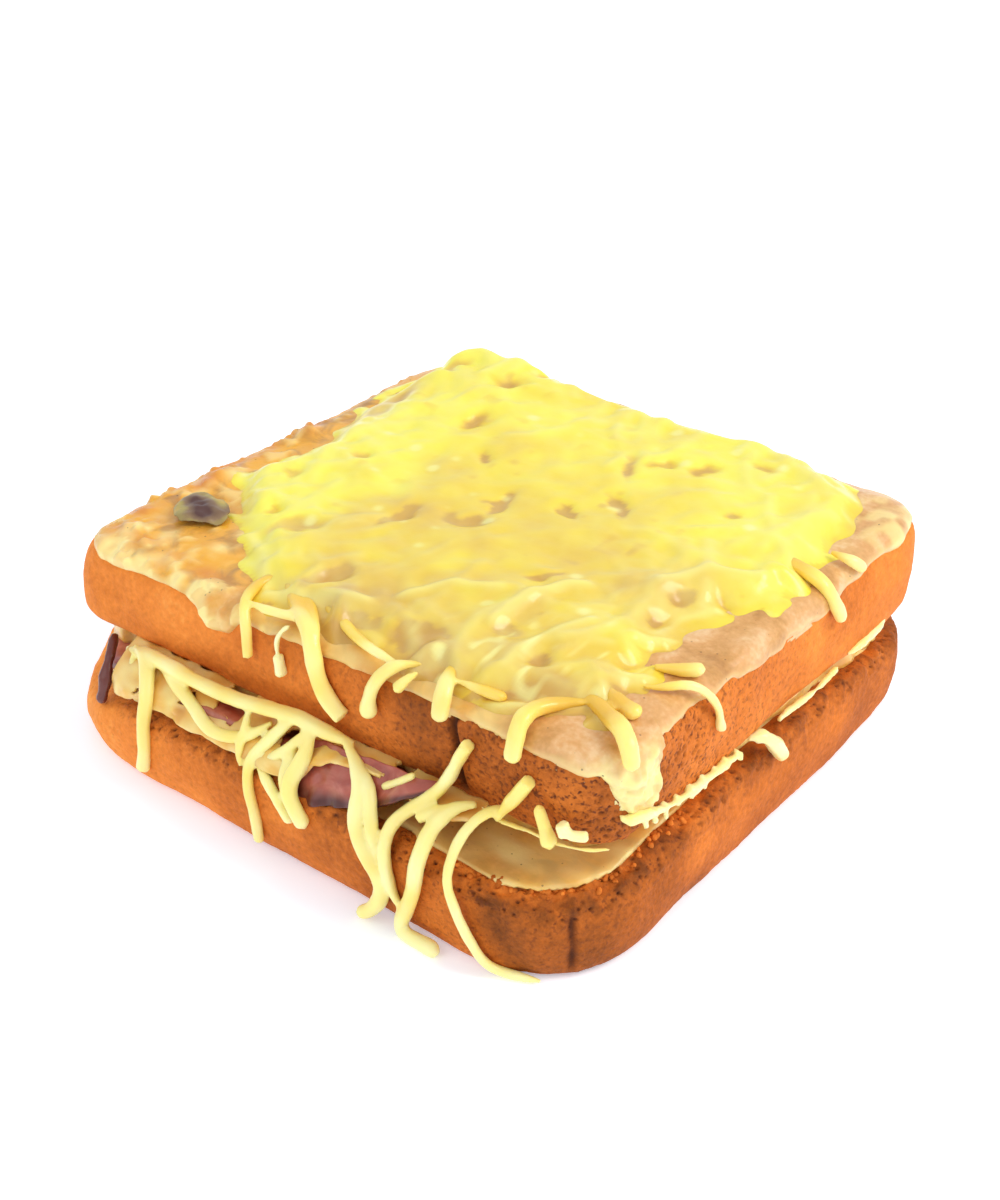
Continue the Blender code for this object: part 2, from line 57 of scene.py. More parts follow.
# %% [markdown]
# ## Small tools
# Blender's operators act on what is selected, so `only` selects one piece and nothing else.
# `apply` adds a modifier by its operator and bakes it in at once, as Ctrl+A does in the modifier list.
# `read` and `write` move a whole mesh's points in and out of numpy, where a sculpted shape is a few
# lines of sums.

# %% Selecting and applying
def only(piece):
    """Selects one piece and makes it the active one."""
    if bpy.context.object and bpy.context.object.mode != "OBJECT":
        bpy.ops.object.mode_set(mode="OBJECT")
    bpy.ops.object.select_all(action="DESELECT")
    piece.hide_set(False)
    piece.select_set(True)
    bpy.context.view_layer.objects.active = piece
    return piece


def apply(piece, kind, **settings):
    """Adds one modifier with its settings and applies it."""
    only(piece)
    bpy.ops.object.modifier_add(type=kind)
    modifier = piece.modifiers[-1]
    for name, value in settings.items():
        setattr(modifier, name, value)
    bpy.ops.object.modifier_apply(modifier=modifier.name)

# %% Points in and out of numpy
def read(piece, what="co"):
    """The points of a mesh in millimetres, or their normals."""
    mesh = piece.data
    values = np.empty(len(mesh.vertices) * 3, np.float32)
    if what == "co":
        mesh.vertices.foreach_get("co", values)
        return values.reshape(-1, 3).astype(float) / MM
    mesh.vertex_normals.foreach_get("vector", values)
    return values.reshape(-1, 3).astype(float)


def write(piece, points):
    """Puts points given in millimetres back into the mesh."""
    piece.data.vertices.foreach_set("co", (points * MM).astype(np.float32).ravel())
    piece.data.update()


def paint(piece, name, values):
    """Stores one number per point, which a material reads by its name."""
    layer = piece.data.attributes.new(name, "FLOAT", "POINT")
    layer.data.foreach_set("value", np.asarray(values, np.float32))


def face_middles(piece):
    """The middle of every face in millimetres."""
    values = np.empty(len(piece.data.polygons) * 3, np.float32)
    piece.data.polygons.foreach_get("center", values)
    return values.reshape(-1, 3).astype(float) / MM

# %% Choosing and cutting faces
def face_points(piece):
    """The numbers of each face's points, for a mesh whose faces all have as many."""
    return np.array([face.vertices[:] for face in piece.data.polygons])


def choose(piece, wanted):
    """Goes into edit mode with just these faces selected."""
    only(piece)
    mesh = piece.data
    mesh.vertices.foreach_set("select", np.zeros(len(mesh.vertices), bool))
    mesh.edges.foreach_set("select", np.zeros(len(mesh.edges), bool))
    mesh.polygons.foreach_set("select", np.asarray(wanted, bool))
    bpy.context.tool_settings.mesh_select_mode = (False, False, True)
    bpy.ops.object.mode_set(mode="EDIT")


def delete_faces(piece, wanted):
    """Removes these faces and the points that only they used."""
    choose(piece, wanted)
    bpy.ops.mesh.delete(type="FACE")
    bpy.ops.object.mode_set(mode="OBJECT")


def refine(piece, wanted):
    """Cuts each of these faces in four, for detail where the eye comes close."""
    choose(piece, wanted)
    bpy.ops.mesh.subdivide(number_cuts=1)
    bpy.ops.object.mode_set(mode="OBJECT")

# %% Copying a piece and finishing it
def copy_layer(name, node):
    """A free copy of a layer of the model, with its loose triangles merged."""
    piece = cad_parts[node].copy()
    piece.data = piece.data.copy()
    piece.name = name
    piece.parent = None
    for key in list(piece.keys()):
        del piece[key]
    bpy.context.scene.collection.objects.link(piece)
    piece.data.materials.clear()
    only(piece)
    bpy.ops.object.mode_set(mode="EDIT")
    bpy.ops.mesh.select_all(action="SELECT")
    bpy.ops.mesh.remove_doubles(threshold=0.01 * MM)
    bpy.ops.object.mode_set(mode="OBJECT")
    return piece


def new_grid(name, columns, rows):
    """A flat grid 1 m across, to be shaped."""
    bpy.ops.object.select_all(action="DESELECT")
    bpy.ops.mesh.primitive_grid_add(x_subdivisions=columns, y_subdivisions=rows, size=1.0)
    piece = bpy.context.object
    piece.name = name
    return piece


def copy_piece(name, source):
    """A second piece with its own mesh."""
    piece = source.copy()
    piece.data = source.data.copy()
    piece.name = name
    bpy.context.scene.collection.objects.link(piece)
    return piece


def triangles(piece):
    """How many triangles a piece has."""
    return sum(len(face.vertices) - 2 for face in piece.data.polygons)


def finish_piece(piece, finish, slot, *nodes):
    """Gives a finished piece its material and its place on the body, and hides the layers of the model that
    it stands for.
    """
    piece.data.materials.clear()
    piece.data.materials.append(finish)
    only(piece)
    bpy.ops.object.shade_smooth()
    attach(piece, "root")
    if nodes:
        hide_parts(*nodes)
    print(piece.name, "has", triangles(piece), "triangles")

# %% [markdown]
# ## Unevenness
# Food has no straight lines. Two kinds of noise are enough here: `cloud` gives soft lumps of a stated
# size, for hand-made unevenness, and `pores` gives small round pits, for bread. Both are worked out from
# the place alone, so the sandwich comes out the same each time.

# %% Lumps and pores
def chance(cells, salt=0):
    """A number from -1 to 1 for each cell of a 3-D grid, always the same for the same cell."""
    mix = (cells[:, 0] * 73856093) ^ (cells[:, 1] * 19349663) ^ (cells[:, 2] * 83492791) ^ (salt * 40503)
    mix = ((mix ^ (mix >> 13)) * 1274126177) & 0x7FFFFFFF
    mix = ((mix ^ (mix >> 11)) * 668265263) & 0x7FFFFFFF
    return (mix >> 8 & 0xFFFF) / 32767.5 - 1


def cloud(points, size, seed=0):
    """Soft lumps about `size` mm across, from -1 to 1."""
    place = np.asarray(points, float) / size + 31.7 * (seed + 1)
    home = np.floor(place).astype(np.int64)
    part = place - home
    part = part * part * (3 - 2 * part)
    total = np.zeros(len(place))
    for step in np.ndindex(2, 2, 2):
        weight = np.prod(np.where(step, part, 1 - part), axis=1)
        total += weight * chance(home + np.array(step), seed)
    return total


def pores(points, size, seed=0):
    """1 in the middle of each of many scattered pits, 0 between them."""
    place = np.asarray(points, float) / size + 17.3 * (seed + 1)
    home = np.floor(place).astype(np.int64)
    nearest = np.full(len(place), 9.0)
    for step in np.ndindex(3, 3, 3):
        cell = home + np.array(step) - 1
        jitter = np.stack([chance(cell, seed * 7 + axis) for axis in (1, 2, 3)], axis=1)
        gap = np.linalg.norm(place - cell - 0.5 - 0.42 * jitter, axis=1)
        nearest = np.minimum(nearest, gap)
    return np.clip(1 - nearest / 0.55, 0, 1)


def soft(value, start=0.0, end=1.0):
    """0 before start, 1 after end, and an easy step between."""
    share = np.clip((value - start) / (end - start), 0, 1)
    return share * share * (3 - 2 * share)


def spot(points, middle, reach):
    """1 at a place and fading round it; reach is one length or one for each axis."""
    return np.exp(-(((points - np.array(middle)) / np.array(reach)) ** 2).sum(axis=1))


some_places = np.arange(12.0).reshape(4, 3)
print("lumps 5 mm across at four places:", cloud(some_places, 5.0).round(2))

# %% [markdown]
# ## Where things rest
# Sauce lies on bread and cheese hangs against crust, so new pieces are placed by looking at the surfaces
# that are already there. `surface` makes a piece searchable, and `meet` follows a straight line to it.

# %% Meeting a surface
def surface(*pieces):
    """The surfaces of some pieces, ready for straight lines to be followed to them."""
    depsgraph = bpy.context.evaluated_depsgraph_get()
    return [BVHTree.FromObject(piece, depsgraph) for piece in pieces]


def meet(surfaces, start, direction):
    """The first place on any of the surfaces that a straight line comes to, in mm, or None."""
    best = None
    for tree in surfaces:
        place, _, _, distance = tree.ray_cast(Vector(start) * MM, Vector(direction))
        if place is not None and (best is None or distance < best[0]):
            best = (distance, np.array(place) / MM)
    return None if best is None else best[1]

# %% The outlines of the slices
FAR = 200.0                     # mm, well outside the sandwich
OUTLINE_POINTS = 144            # places round a slice's outline
BATCH = 20000                   # places worked on at once, to save memory
BASE_HEIGHT = 8.0               # mm, the height at which the bottom slice's outline is taken
layer_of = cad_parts
bread_low = surface(layer_of["bottom_slice"])
bread_high = surface(layer_of["top_slice"])


def plan_outline(surfaces, height):
    """The outline of a slice at one height, found by lines from outside to its middle."""
    points = []
    for number in range(OUTLINE_POINTS):
        turn = 2 * math.pi * number / OUTLINE_POINTS
        out = np.array((math.cos(turn), math.sin(turn), 0.0))
        found = meet(surfaces, out * FAR + (0, 0, height), -out)
        points.append(found[:2])
    return np.array(points)


def depth_inside(places, outline):
    """How far inside an outline each place lies, negative outside it."""
    start = outline
    side = np.roll(outline, -1, axis=0) - start
    result = np.empty(len(places))
    for first in range(0, len(places), BATCH):
        here = places[first:first + BATCH, None, :2] - start[None]
        along = np.clip((here * side).sum(-1) / (side * side).sum(-1), 0, 1)
        gap = np.linalg.norm(here - along[..., None] * side, axis=-1)
        nearest = gap.argmin(axis=1)
        rows = np.arange(len(nearest))
        near = here[rows, nearest]
        sides = side[nearest]
        cross = sides[:, 0] * near[:, 1] - sides[:, 1] * near[:, 0]
        result[first:first + BATCH] = gap[rows, nearest] * np.sign(cross)
    return result


lid_low, lid_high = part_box("top_slice")
lid_middle_height = (lid_low.z + lid_high.z) / 2 / MM
lid_outline = plan_outline(bread_high, lid_middle_height)
base_outline = plan_outline(bread_low, BASE_HEIGHT)
print("lid outline", lid_outline.min(0).round(1), lid_outline.max(0).round(1))

# %% The height of the lid
INNER = 6                       # mm, how far inside the rim the lid's height is sampled
SAMPLES = 14                    # samples each way


def fitted_top(surfaces, outline):
    """A smooth sheet through the upper side of a slice: a function that gives its height."""
    samples = []
    for x in np.linspace(outline[:, 0].min() + INNER, outline[:, 0].max() - INNER, SAMPLES):
        for y in np.linspace(outline[:, 1].min() + INNER, outline[:, 1].max() - INNER, SAMPLES):
            found = meet(surfaces, (x, y, FAR), (0, 0, -1))
            if found is not None:
                samples.append(found)
    samples = np.array(samples)

    def terms(x, y):
        return np.stack((np.ones_like(x), x, y, x * y, x * x, y * y), axis=-1)

    factors = np.linalg.lstsq(terms(samples[:, 0], samples[:, 1]), samples[:, 2], rcond=None)[0]
    return lambda x, y: terms(x, y) @ factors


lid_top = fitted_top(bread_high, lid_outline)
near_and_back = lid_top(np.array([49.0, -45.0]), np.array([-38.0, 48.0]))
print("lid height at its near and back corners", near_and_back.round(1))

# %% [markdown]
# ## Camera, floor and light
# Seen from a little above and off one corner, as a cook would set the plate down. The floor is plain
# white and the light is a bright, even studio light with one large soft lamp high on the right, behind
# the sandwich, so the right-hand crust is lit and the front one falls a little into shade.

# %% Camera
AZIMUTH, ELEVATION = math.radians(38.3), math.radians(34.2)
DISTANCE = 326.0
TARGET = np.array((-2.3, 4.7, 20.0))
SIDEWAYS, DOWNWARDS = 0.72, 1.75
LENS, SENSOR = 61.5, 36.0
back = np.array((math.sin(AZIMUTH) * math.cos(ELEVATION), -math.cos(AZIMUTH) * math.cos(ELEVATION),
                 math.sin(ELEVATION)))
right = np.array((math.cos(AZIMUTH), math.sin(AZIMUTH), 0.0))
up = np.cross(back, right)
eye = (TARGET + back * DISTANCE + right * SIDEWAYS - up * DOWNWARDS) * MM
camera_data = bpy.data.cameras.new("camera")
camera = bpy.data.objects.new("camera", camera_data)
bpy.context.scene.collection.objects.link(camera)
camera.matrix_world = Matrix([[right[i], up[i], back[i], eye[i]] for i in range(3)] + [[0, 0, 0, 1]])
camera_data.lens, camera_data.sensor_width = LENS, SENSOR
camera_data.clip_start = 0.01
bpy.context.scene.camera = camera
print("camera at", eye.round(3))

# %% Colours and nodes
PER_METRE = 1000.0              # a noise with spots 1 mm across has a scale of 1000


def linear(code):
    """An sRGB hex colour as the linear numbers that a shader takes."""
    parts = [int(code[i:i + 2], 16) / 255 for i in (1, 3, 5)]
    return [p / 12.92 if p <= 0.04045 else ((p + 0.055) / 1.055) ** 2.4 for p in parts] + [1.0]


def set_inputs(tree, node, inputs):
    """Links or fills a node's inputs."""
    for name, value in inputs.items():
        if isinstance(value, bpy.types.NodeSocket):
            tree.links.new(value, node.inputs[name])
        else:
            node.inputs[name].default_value = value


def add(tree, kind, inputs=None, stops=None, **settings):
    """Adds a node, sets its properties, fills or links its inputs, and lays out its colour stops."""
    node = tree.nodes.new("ShaderNode" + kind)
    for name, value in settings.items():
        setattr(node, name, value)
    set_inputs(tree, node, inputs or {})
    for number, (place, code) in enumerate(stops or ()):
        ramp = node.color_ramp.elements
        stop = ramp[number] if number < 2 else ramp.new(place)
        stop.position, stop.color = place, linear(code)
    return node

# %% A new material and its usual nodes
def new_material(name):
    """An empty material, with its tree and a Principled shader wired to the output."""
    finish = bpy.data.materials.new(name)
    finish.use_nodes = True
    tree = finish.node_tree
    tree.nodes.clear()
    shader = add(tree, "BsdfPrincipled")
    add(tree, "OutputMaterial", {"Surface": shader.outputs[0]})
    return finish, tree, shader


def stored(tree, name):
    """A number that `paint` has stored on the points."""
    return add(tree, "Attribute", attribute_name=name).outputs["Fac"]


def speckle(tree, place, size, detail, **more):
    """Noise with spots about `size` mm across, from 0 to 1."""
    inputs = {"Vector": place, "Scale": PER_METRE / size, "Detail": detail, **more}
    return add(tree, "TexNoise", inputs).outputs["Fac"]


def sums(tree, kind, *values):
    """One step of arithmetic."""
    return add(tree, "Math", dict(enumerate(values)), operation=kind).outputs[0]


def rescaled(tree, value, start, end):
    """0 where a value is at start, 1 where it is at end."""
    inputs = {"Value": value, "From Min": start, "From Max": end}
    return add(tree, "MapRange", inputs).outputs["Result"]


def tint(tree, colour, code, amount):
    """A colour mixed towards another by an amount from 0 to 1."""
    inputs = {"Factor": amount, 6: colour, 7: linear(code)}
    return add(tree, "Mix", inputs, data_type="RGBA").outputs[2]


print("toast brown in linear numbers:", np.round(linear("#B25D1A")[:3], 3))

# %% Floor and light
FLOOR_SIZE = 12.0
bpy.ops.object.select_all(action="DESELECT")
bpy.ops.mesh.primitive_plane_add(size=FLOOR_SIZE, location=(0, 0, 0))
floor = bpy.context.object
floor.name = "floor"
floor_finish, tree, shader = new_material("matt_white_paper")
set_inputs(tree, shader, {"Base Color": linear("#FAFAFC"), "Roughness": 0.9, "Specular IOR Level": 0.2,
                          "Emission Color": linear("#D2E9FF"), "Emission Strength": 0.33})
floor.data.materials.append(floor_finish)

world = bpy.data.worlds.new("studio")
bpy.context.scene.world = world
world.use_nodes = True
world.node_tree.nodes["Background"].inputs["Color"].default_value = linear("#FAFCFF")
world.node_tree.nodes["Background"].inputs["Strength"].default_value = 0.85


def lamp(name, place, size, power, colour):
    """A square soft lamp at a place in metres that looks at the sandwich."""
    data = bpy.data.lights.new(name, "AREA")
    data.size, data.energy, data.color = size, power, linear(colour)[:3]
    thing = bpy.data.objects.new(name, data)
    bpy.context.scene.collection.objects.link(thing)
    thing.location = place
    thing.rotation_euler = (Vector((0, 0, 0.02)) - Vector(place)).to_track_quat("-Z", "Y").to_euler()
    return thing


lamps = [lamp("key_lamp", (0.75, 0.35, 0.85), 0.55, 7.0, "#FFF8EE"),
         lamp("front_lamp", (-0.2, -0.9, 0.75), 0.9, 2.0, "#FFFFFF")]
print("lamps:", [each.name for each in lamps])
bpy.context.scene.view_settings.view_transform = "Standard"
bpy.context.scene.view_settings.look = "None"

# %% [markdown]
# ## Crust
# A sandwich loaf's crust is baked flour: dry, matt and orange-brown where it lay against the tin, darker
# where the toaster caught it, with a fine grain all over and open pores where the skin has rubbed away.
# Each point of the slices stores how strongly it is baked, with painted shade added on the lid's front face,
# in its fold and in the bottom slice's hollow, and how much painted shade darkens it where it lies in a pore
# or a crease. The material turns the first into a run of browns, darkens the pores and creases with that
# painted shade, and adds a grain under half a millimetre as bump.

# %% Crust material
MOTTLE, GRAIN, FLOUR = 9.0, 1.1, 0.4         # mm, sizes of the crust's mottling and of its two grains
SPECK = 0.7                                  # mm, size of the dark specks where the skin has rubbed off


def toasted_crust():
    """Baked crust: `bake_and_shade` sets how brown, with painted shade in it, `open` where it is speckled,
    and `recess_shade` how much painted shade darkens pores and creases.
    """
    finish, tree, shader = new_material("toasted_loaf_crust")
    place = add(tree, "TexCoord").outputs["Object"]
    bake_and_shade = stored(tree, "bake_and_shade")
    recess_shade = stored(tree, "recess_shade")
    mottle = speckle(tree, place, MOTTLE, 3.0)
    grain = speckle(tree, place, GRAIN, 3.0, Roughness=0.65)
    flour = speckle(tree, place, FLOUR, 2.0)
    tone = sums(tree, "MULTIPLY_ADD", mottle, 0.34, bake_and_shade)
    tone = sums(tree, "MULTIPLY_ADD", grain, 0.42, tone)
    tone = sums(tree, "SUBTRACT", tone, 0.38)
    colour = add(tree, "ValToRGB", {"Fac": tone}, stops=(
        (0.0, "#FFB056"), (0.22, "#F08D36"), (0.42, "#D67628"), (0.62, "#B25D1A"), (0.82, "#854512"),
        (1.0, "#542A0A"))).outputs["Color"]
    open_skin = stored(tree, "open")
    speck = speckle(tree, place, SPECK, 1.0)
    speck = rescaled(tree, speck, 0.56, 0.7)
    speck = sums(tree, "MULTIPLY", speck, open_skin)
    colour = tint(tree, colour, "#6A3316", speck)
    # painted shade: pores, creases and the fold are darkened towards a deep brown
    colour = tint(tree, colour, "#47200F", recess_shade)
    bump = add(tree, "Bump", {"Height": grain, "Strength": 0.65, "Distance": 0.35 * MM}).outputs["Normal"]
    bump = add(tree, "Bump", {"Height": flour, "Strength": 0.75, "Distance": 0.16 * MM, "Normal": bump})
    set_inputs(tree, shader, {"Base Color": colour, "Normal": bump.outputs["Normal"], "Roughness": 0.72,
                              "Specular IOR Level": 0.25, "IOR": 1.45})
    return finish


crust = toasted_crust()
print("material:", crust.name)

# %% [markdown]
# ## The two slices
# The model's slices have straight facets. A voxel remesh gives an even skin that a smoothing pass rounds,
# and the crust round the sides is then cut finer, because that is where its pores show.
# The open crust near the front corner is cut once more. Points are pushed along their normals:
# wide soft lumps for a loaf that was never square, and pits for the pores.

# %% A smooth slice
COARSE = 0.95                   # mm between points on the hidden faces of a slice


def smooth_slice(name, node, outline, band):
    """A rounded copy of a slice whose side band is cut fine; band is its depth in from the outline."""
    piece = copy_layer(name, node)
    apply(piece, "REMESH", mode="VOXEL", voxel_size=COARSE * MM)
    apply(piece, "SMOOTH", factor=0.5, iterations=5)
    refine(piece, depth_inside(face_middles(piece), outline) < band)
    apply(piece, "SMOOTH", factor=0.5, iterations=2)
    return piece


def upright(piece):
    """1 on upright faces, 0 on level ones."""
    return soft(1 - np.abs(read(piece, "normal")[:, 2]), 0.1, 0.45)


lid = smooth_slice("top_bread", "top_slice", lid_outline, 3.2)
lid_smooth = copy_piece("lid_before_pores", lid)
print("lid", triangles(lid))

# %% Pores and folds of the lid
OPEN_CRUST = ((49.0, -38.0, 29.0), (42.0, 34.0, 30.0))      # middle and reach of the rubbed, porous crust
FOLD_TOP, FOLD_FOOT = np.array((24.9, 37.5)), np.array((26.6, 19.0))    # x and z of the front crust's fold


def to_line(across, height, first, last):
    """Distance of places on a face to a straight line drawn on it."""
    places = np.stack((across, height), axis=1)
    side = last - first
    along = np.clip(((places - first) @ side) / (side @ side), 0, 1)
    return np.linalg.norm(places - first - along[:, None] * side, axis=1)


near_middles = face_middles(lid)
refine(lid, (spot(near_middles, (50.0, -38.0, 28.0), (26.0, 22.0, 30.0)) > 0.37)
       & (depth_inside(near_middles, lid_outline) < 2.5))
points, normals = read(lid), read(lid, "normal")
side = upright(lid)
open_crust = 0.18 + 0.82 * spot(points, *OPEN_CRUST)
front = soft(-normals[:, 1], 0.4, 0.8)
wavering = points[:, 0] + 0.5 * cloud(points, 3.0, 5)
fold = np.exp(-(to_line(wavering, points[:, 2], FOLD_TOP, FOLD_FOOT) / 0.55) ** 2)
wide_fold = np.exp(-(to_line(points[:, 0], points[:, 2], FOLD_TOP, FOLD_FOOT) / 3.2) ** 2)
large, small = pores(points, 1.35, 1), pores(points, 0.75, 2)
crumble = cloud(points, 0.9, 9)
patchy = cloud(points, 4.0, 3) > -0.25
pits = np.clip(0.75 * soft(large, 0.25, 0.8) * patchy + 0.55 * soft(small, 0.3, 0.8), 0, 1)
push = side * (0.55 * cloud(points, 11.0, 1) + 0.22 * cloud(points, 4.0, 2))
push += side * open_crust * (0.16 * cloud(points, 1.6, 4) + 0.1 * crumble - 0.42 * pits)
push -= side * front * (1.0 * fold + 0.5 * wide_fold)
write(lid, points + normals * push[:, None])
# How baked the crust is, with painted shade: the front face is made darker, and more so in the fold. The
# pores and the fold are also darkened with painted shade.
bake_and_shade = (0.44 + 0.19 * spot(points, (34.0, -42.0, 28.0), (26.0, 9.0, 16.0))
        - 0.17 * soft(-points[:, 0], 5.0, 40.0) - 0.2 * soft(points[:, 1], -35.0, 5.0)
        + 0.1 * cloud(points, 7.0, 6) + 0.1 * soft(points[:, 0], 46.0, 50.0)
        + 0.14 * front * np.exp(-(np.abs(points[:, 0] - 20.0) / 6.0) ** 2))
paint(lid, "bake_and_shade", bake_and_shade + 0.18 * side * front * fold)
paint(lid, "open", np.clip(0.95 * side * spot(points, (46.0, -34.0, 29.0), (36.0, 36.0, 30.0)), 0, 1))
paint(lid, "recess_shade", np.clip(side * (open_crust * pits * 0.8 + front * fold * 0.9), 0, 1))
finish_piece(lid, crust, "toasted_crust", "top_slice")

# %% The bottom slice
base = smooth_slice("bottom_bread", "bottom_slice", base_outline, 5.0)
near_middles = face_middles(base)
refine(base, (spot(near_middles, (44.0, -42.0, 12.0), (24.0, 18.0, 12.0)) > 0.37)
       & (depth_inside(near_middles, base_outline) < 5.0))
points, normals = read(base), read(base, "normal")
side = upright(base)
inside = depth_inside(points, base_outline)
rim = soft(4.5 - inside, 0.0, 2.0) * soft(points[:, 2], 9.5, 12.5) * soft(normals[:, 2], -0.2, 0.5)
CREASE = np.array((47.6, -41.6))             # where a crease runs down the near corner, darkened with painted shade
crease_gap = np.linalg.norm(points[:, :2] - CREASE - 0.25 * cloud(points, 2.5, 8)[:, None], axis=1)
crease = np.exp(-(crease_gap / 0.55) ** 2) * soft(14.5 - points[:, 2], 0.0, 2.0)
hollow_line = to_line(points[:, 0], points[:, 2], np.array((36.0, 15.0)), np.array((42.5, 0.0)))
hollow = np.exp(-(hollow_line / 2.2) ** 2) * soft(-normals[:, 1], 0.3, 0.8)
fine = pores(points, 0.8, 4)
push = side * (0.6 * cloud(points, 13.0, 11) + 0.2 * cloud(points, 4.5, 12) + 0.05 * cloud(points, 0.9, 13))
push -= side * 0.1 * soft(fine, 0.3, 0.8) + 0.75 * crease + 0.45 * hollow
crumbs = cloud(points, 1.3, 14)
rim_pores = soft(pores(points, 1.2, 5), 0.35, 0.8)
push += rim * (0.35 * crumbs + 0.25 * cloud(points, 3.0, 15) - 0.45 * rim_pores)
torn_rim = (soft(np.abs(inside - 4.0), 2.4, 0.6) * spot(points, (44.0, -42.0, 12.0), (24.0, 18.0, 30.0))
            * soft(normals[:, 2], 0.0, 0.6))
push += torn_rim * (0.35 + 0.5 * cloud(points, 1.1, 17) + 0.3 * cloud(points, 0.6, 18))
write(base, points + normals * push[:, None])
# How baked the crust is: darker at the lower near corner and along the lower front, with painted shade in
# the hollow. The crease and the pores are darkened with painted shade further down.
dark_corner = spot(points, (47.0, -42.0, 3.0), (14.0, 12.0, 10.0))
bake_and_shade = (0.4 + 0.17 * dark_corner + 0.14 * cloud(points, 9.0, 16) - 0.16 * soft(-points[:, 0], 0.0, 40.0)
        + 0.16 * soft(points[:, 0], 30.0, 46.0) + 0.16 * rim * (0.5 + crumbs) - 0.16 * torn_rim
        + 0.13 * hollow + 0.1 * spot(points, (20.0, -48.0, 6.0), (22.0, 6.0, 9.0)))
paint(base, "bake_and_shade", bake_and_shade)
rubbed = spot(points, (40.0, -42.0, 10.0), (26.0, 26.0, 20.0))
paint(base, "open", np.clip(0.5 * side * rubbed + 0.4 * rim, 0, 1))
paint(base, "recess_shade", np.clip(0.9 * crease + side * 0.25 * soft(fine, 0.4, 0.9)
                           + rim * 0.8 * rim_pores, 0, 1))
finish_piece(base, crust, "toasted_crust", "bottom_slice")

# %% [markdown]
# ## Bechamel
# A white sauce of butter, flour and milk, spread on the bread and baked: pale tan, satin, flecked with
# nutmeg and pepper, and almost clear where it has thinned out. It has body, so light goes a millimetre
# or two into it. The film on the lid is lifted off the smooth slice itself: its faces are copied, and
# each point is raised by the sauce's depth there, so that the sauce follows the rounded rim and can run
# down over it. How far it runs past the rim is a short list of places round the edge, in millimetres.

# %% Bechamel material
def baked_bechamel():
    """Baked white sauce: tan, golden, cream-white or browned as the points say, with flecks of nutmeg and a
    painted highlight along part of the rim.
    """
    finish, tree, shader = new_material("baked_bechamel_with_nutmeg")
    place = add(tree, "TexCoord").outputs["Object"]
    brown = stored(tree, "brown")
    thin = stored(tree, "thin")
    cream_and_highlight = stored(tree, "cream_and_highlight")
    golden = stored(tree, "golden")
    stirred = speckle(tree, place, 7.0, 4.0, Distortion=0.8)
    grain = speckle(tree, place, 0.8, 3.0)
    tone = sums(tree, "MULTIPLY_ADD", grain, 0.35, stirred)
    colour = add(tree, "ValToRGB", {"Fac": tone}, stops=(
        (0.35, "#AE7A40"), (0.55, "#C89454"), (0.7, "#D8A468"), (0.88, "#E6C090"))).outputs["Color"]
    colour = tint(tree, colour, "#ECAC28", golden)
    dark = rescaled(tree, stirred, 0.5, 0.36)
    dark = sums(tree, "MULTIPLY", dark, golden)
    colour = tint(tree, colour, "#A47A40", dark)
    colour = tint(tree, colour, "#D29A68", thin)
    colour = tint(tree, colour, "#FBE79A", cream_and_highlight)
    colour = tint(tree, colour, "#DB8A2E", brown)
    flecks = add(tree, "TexVoronoi", {"Vector": place, "Scale": PER_METRE / 1.9}).outputs["Distance"]
    fleck = sums(tree, "LESS_THAN", flecks, 0.085)
    sparse = speckle(tree, place, 4.0, 0.0)
    fleck = sums(tree, "MULTIPLY", fleck, sparse)
    colour = tint(tree, colour, "#4A3626", fleck)
    bump = add(tree, "Bump", {"Height": stirred, "Strength": 0.35, "Distance": 0.5 * MM}).outputs["Normal"]
    bump = add(tree, "Bump", {"Height": grain, "Strength": 0.35, "Distance": 0.15 * MM, "Normal": bump})
    set_inputs(tree, shader, {
        "Base Color": colour, "Normal": bump.outputs["Normal"], "Roughness": 0.42, "IOR": 1.45,
        "Coat Weight": 0.25, "Coat Roughness": 0.18, "Subsurface Weight": 0.25,
        "Subsurface Radius": (1.0, 0.6, 0.35), "Subsurface Scale": 1.5 * MM})
    return finish


sauce = baked_bechamel()
print("material:", sauce.name)

# %% How far the sauce reaches round the lid
# place round the lid in plan, and how far the sauce reaches past the rim there, which is more than 0
# where it runs down the crust
SAUCE_REACH = (
    (-48, -36.5, -1.0), (-41.5, -38, -0.6), (-36, -39, -0.8), (-31, -39, -0.4), (-27.4, -40, 0.0),
    (-24.4, -40, 1.2), (-22, -40, 3.0), (-20.6, -40, 4.2), (-17, -40, 3.6), (-15.4, -40, 1.0),
    (-13, -40, 0.2), (0, -40, 0.3), (10, -40, 0.8), (20, -40, 0.3), (28, -40, 0.9), (33, -40, 1.1),
    (41, -40, 1.7), (45, -40, 1.9), (48, -39, 2.8), (49.7, -38.2, 3.0), (50.6, -37.6, 4.2),
    (51.2, -36.6, 7.0), (52.4, -33.9, 10.8), (52.2, -30.8, 12.8), (51.9, -29.2, 12.0), (51.6, -28.0, 1.6),
    (51, -26.5, 0.9), (50, -19, 0.6), (50, -14, 1.0), (50, -5, 2.2), (50, 6, 2.2), (50, 15, 2.8),
    (50, 19, 2.8), (50, 23, 1.0), (49, 30, 0.4), (49, 42, 0.2), (46, 49, 0.0), (30, 51, -0.6),
    (0, 51, -0.8), (-25, 51, -0.6), (-45, 50, 0.0), (-49, 35, -0.4), (-50, 15, -0.5), (-51, 0, -0.3),
    (-51, -15, 0.2), (-51, -27, -0.4), (-51, -33, -1.2))
SAUCE_DEPTH = 1.15
TUCK = 0.3                      # mm that a film's edge dips into what it lies on


